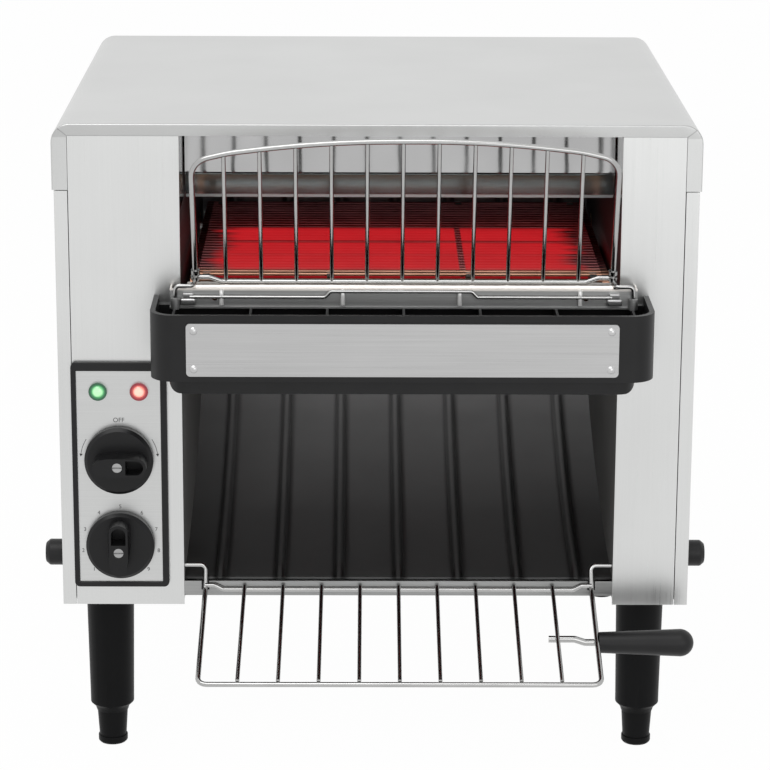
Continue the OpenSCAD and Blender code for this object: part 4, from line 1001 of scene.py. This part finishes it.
class TOASTER_OT_chute(bpy.types.Operator):
    """Sweeps the chute's concave sheet and presses its ribs"""

    bl_idname = "toaster.chute"
    bl_label = "Chute"

    def execute(self, context):
        bm = bmesh.new()
        long_centre = below(CHUTE_START, -CHUTE_RADIUS, CHUTE_SLOPE)
        rear_centre = below(below(long_centre, CHUTE_RADIUS, CHUTE_KNEE), -CHUTE_REAR_RADIUS, CHUTE_KNEE)
        end = bm.verts.new(at(MOUTH_LEFT, *below(long_centre, CHUTE_RADIUS - CHUTE_SHEET, CHUTE_SLOPE)))
        for centre, turn, steps in ((long_centre, CHUTE_KNEE - CHUTE_SLOPE, 24),
                                    (rear_centre, CHUTE_TOP - CHUTE_KNEE, 18)):
            made = bmesh.ops.spin(bm, geom=[end], cent=at(MOUTH_LEFT, *centre), axis=(1, 0, 0),
                                  angle=radians(turn), steps=steps)
            end = made["geom_last"][0]
        top = bmesh.ops.extrude_vert_indiv(bm, verts=[end])["verts"]
        rise = radians(CHUTE_TOP)
        bmesh.ops.translate(bm, vec=Vector((0, cos(rise), sin(rise))) * CHUTE_BACK * MM, verts=top)
        swept = bmesh.ops.extrude_edge_only(bm, edges=bm.edges[:])["geom"]
        bmesh.ops.translate(bm, vec=((MOUTH_RIGHT - MOUTH_LEFT) * MM, 0, 0), verts=verts_of(swept))
        for i in range(-3, 4):
            for reach, _ in reversed(RIB_SECTION):
                for side in (-1, 1) if reach else (1,):
                    bmesh.ops.bisect_plane(bm, geom=bm.verts[:] + bm.edges[:] + bm.faces[:], dist=1e-7,
                                           plane_co=at(MOUTH_X + i * RIB_PITCH + side * reach, 0, 0),
                                           plane_no=(1, 0, 0))
        bmesh.ops.recalc_face_normals(bm, faces=bm.faces)
        if sum(f.normal.z for f in bm.faces) < 0:
            bmesh.ops.reverse_faces(bm, faces=bm.faces)
        bm.normal_update()
        lifts = [(v, v.normal.copy(), rib_share(v.co.x / MM, (v.co.y - CASING_FRONT) / MM)) for v in bm.verts]
        for vert, out, share in lifts:
            vert.co += out * share * RIB_RISE * MM
        piece = finished("chute_sheet", bm, "black_enamel", "chute", sharp=50.0)
        thicken(piece, CHUTE_SHEET)
        return {"FINISHED"}


class TOASTER_OT_legs(bpy.types.Operator):
    """Finishes the legs, the screw feet and the side knobs"""

    bl_idname = "toaster.legs"
    bl_label = "Legs, feet and side knobs"

    def execute(self, context):
        softened(0.3, "legs", angle=35.0, sharp=35.0)
        softened(0.3, "foot_front_left", "foot_front_right", "foot_rear_left", "foot_rear_right", angle=35.0)
        softened(0.5, "side_knob_left", "side_knob_right", angle=35.0)
        softened(0.15, "cover_screws", "cord_gland", angle=35.0)
        return {"FINISHED"}


class TOASTER_OT_inside(bpy.types.Operator):
    """Gives every node that is still bare the finish of its slot"""

    bl_idname = "toaster.inside"
    bl_label = "Inner pieces"

    def execute(self, context):
        for name, solid in NODES.items():
            solid.data.materials.clear()
            solid.data.materials.append(finish(SLOT_OF[name]))
        return {"FINISHED"}


# ---------------- stage
CAMERA_PLACE = Vector((-0.01077, -1.81040, 0.68519))
CAMERA_PITCH = 15.136
CAMERA_YAW = -0.536
CAMERA_ROLL = 0.274
CAMERA_LENS = 141.52


def soft_lamp(name, place, target, size, power):
    lamp = bpy.data.lights.new(name, "AREA")
    lamp.shape = "RECTANGLE"
    lamp.size, lamp.size_y = size
    lamp.energy = power
    holder = in_scene(name, lamp)
    aim = (Vector(target) - Vector(place)).to_track_quat("-Z", "Y")
    holder.matrix_world = Matrix.Translation(place) @ aim.to_matrix().to_4x4()
    holder.visible_camera = False
    return holder


def seen_directly(nodes):
    """1 for rays from the camera, from a mirror and through glass, and 0 for all others."""
    rays = nodes.add("LightPath").outputs
    seen = nodes.math("MAXIMUM", rays["Is Camera Ray"], rays["Is Glossy Ray"])
    return nodes.math("MAXIMUM", seen, rays["Is Transmission Ray"])


def floor_finish(colour):
    """White to the camera but for the shadow, and the floor's own colour to everything else."""
    material = bpy.data.materials.new("Plain floor")
    material.use_nodes = True
    nodes = Nodes(material.node_tree)
    nodes.tree.nodes.clear()
    mix = nodes.add("MixShader", i_Fac=nodes.math("MULTIPLY", seen_directly(nodes), 0.98))
    nodes.give(mix.inputs[1], nodes.add("BsdfDiffuse", i_Color=colour).outputs[0])
    nodes.give(mix.inputs[2], nodes.add("Emission", i_Strength=1.0).outputs[0])
    nodes.add("OutputMaterial", i_Surface=mix.outputs[0])
    return material


class TOASTER_OT_stage(bpy.types.Operator):
    """Builds the floor, the even room light, the soft lamps and the camera"""

    bl_idname = "toaster.stage"
    bl_label = "Floor, light and camera"

    def execute(self, context):
        scene = context.scene
        stage = scene.toaster_stage
        bm = bmesh.new()
        bmesh.ops.create_grid(bm, x_segments=1, y_segments=1, size=6.0)
        mesh = bpy.data.meshes.new("floor")
        bm.to_mesh(mesh)
        bm.free()
        mesh.materials.append(floor_finish(stage.floor_colour))
        floor = in_scene("floor", mesh)

        world = bpy.data.worlds.new("Even room")
        scene.world = world
        world.use_nodes = True
        nodes = Nodes(world.node_tree)
        nodes.tree.nodes.clear()
        strength = nodes.scaled(seen_directly(nodes), 1.0 - stage.room_level, stage.room_level)
        light = nodes.add("Background", i_Color=1.0, i_Strength=strength)
        nodes.add("OutputWorld", i_Surface=light.outputs[0])

        soft_lamp("key_above", (-0.5, -0.9, 1.9), (0.0, 0.0, 0.25), (1.6, 1.2), stage.key_power)
        soft_lamp("fill_low", (0.25, -2.3, 0.35), (0.0, 0.0, 0.2), (1.6, 0.6), stage.key_power * 0.08)
        low = soft_lamp("fill_chute", (-0.15, -0.85, 0.16), at(MOUTH_X, 200, 60), (0.5, 0.12),
                        stage.key_power * 0.8)
        lit = bpy.data.collections.new("Lit by the low lamp")
        lit.objects.link(bpy.data.objects["chute_sheet"])
        low.light_linking.receiver_collection = lit
        soft_lamp("fill_front", (0.9, -2.2, 0.9), (0.0, 0.0, 0.2), (1.4, 1.4), stage.key_power * 0.5)

        camera = in_scene("camera", bpy.data.cameras.new("camera"))
        camera.data.lens = CAMERA_LENS
        camera.data.clip_start, camera.data.clip_end = 0.05, 30.0
        camera.matrix_world = (
            Matrix.Translation(CAMERA_PLACE)
            @ Matrix.Rotation(radians(CAMERA_YAW), 4, "Z")
            @ Matrix.Rotation(radians(90.0 - CAMERA_PITCH), 4, "X")
            @ Matrix.Rotation(radians(CAMERA_ROLL), 4, "Z"))
        scene.camera = camera
        scene.view_settings.view_transform = "Standard"
        return {"FINISHED"}


# ---------------- add-on
BUILD_ORDER = (
    TOASTER_OT_inside, TOASTER_OT_cover, TOASTER_OT_casing_sheets, TOASTER_OT_oven, TOASTER_OT_belt,
    TOASTER_OT_controls, TOASTER_OT_bumper, TOASTER_OT_loading_rack, TOASTER_OT_feed_guard,
    TOASTER_OT_toast_rack, TOASTER_OT_chute, TOASTER_OT_legs, TOASTER_OT_stage)


class TOASTER_PT_panel(bpy.types.Panel):
    """Lists the toaster's settings and building steps"""

    bl_idname = "TOASTER_PT_panel"
    bl_label = "Conveyor toaster"
    bl_space_type = "VIEW_3D"
    bl_region_type = "UI"
    bl_category = "Toaster"

    def draw(self, context):
        layout = self.layout
        for name in SETTINGS:
            box = layout.box()
            group = getattr(context.scene, name)
            for field in group.bl_rna.properties:
                if field.identifier not in ("rna_type", "name"):
                    box.prop(group, field.identifier)
        for step in BUILD_ORDER:
            layout.operator(step.bl_idname)


SETTINGS = {"toaster_casing": CasingSettings, "toaster_heat": HeatSettings, "toaster_wires": WireSettings,
            "toaster_stage": StageSettings}


def register():
    for kind in (*SETTINGS.values(), *BUILD_ORDER, TOASTER_PT_panel):
        bpy.utils.register_class(kind)
    for name, kind in SETTINGS.items():
        setattr(bpy.types.Scene, name, PointerProperty(type=kind))


def unregister():
    for name in SETTINGS:
        delattr(bpy.types.Scene, name)
    for kind in reversed((*SETTINGS.values(), *BUILD_ORDER, TOASTER_PT_panel)):
        bpy.utils.unregister_class(kind)


def main():
    register()
    for step in BUILD_ORDER:
        group, name = step.bl_idname.split(".")
        getattr(getattr(bpy.ops, group), name)()


if __name__ == "__main__":
    main()
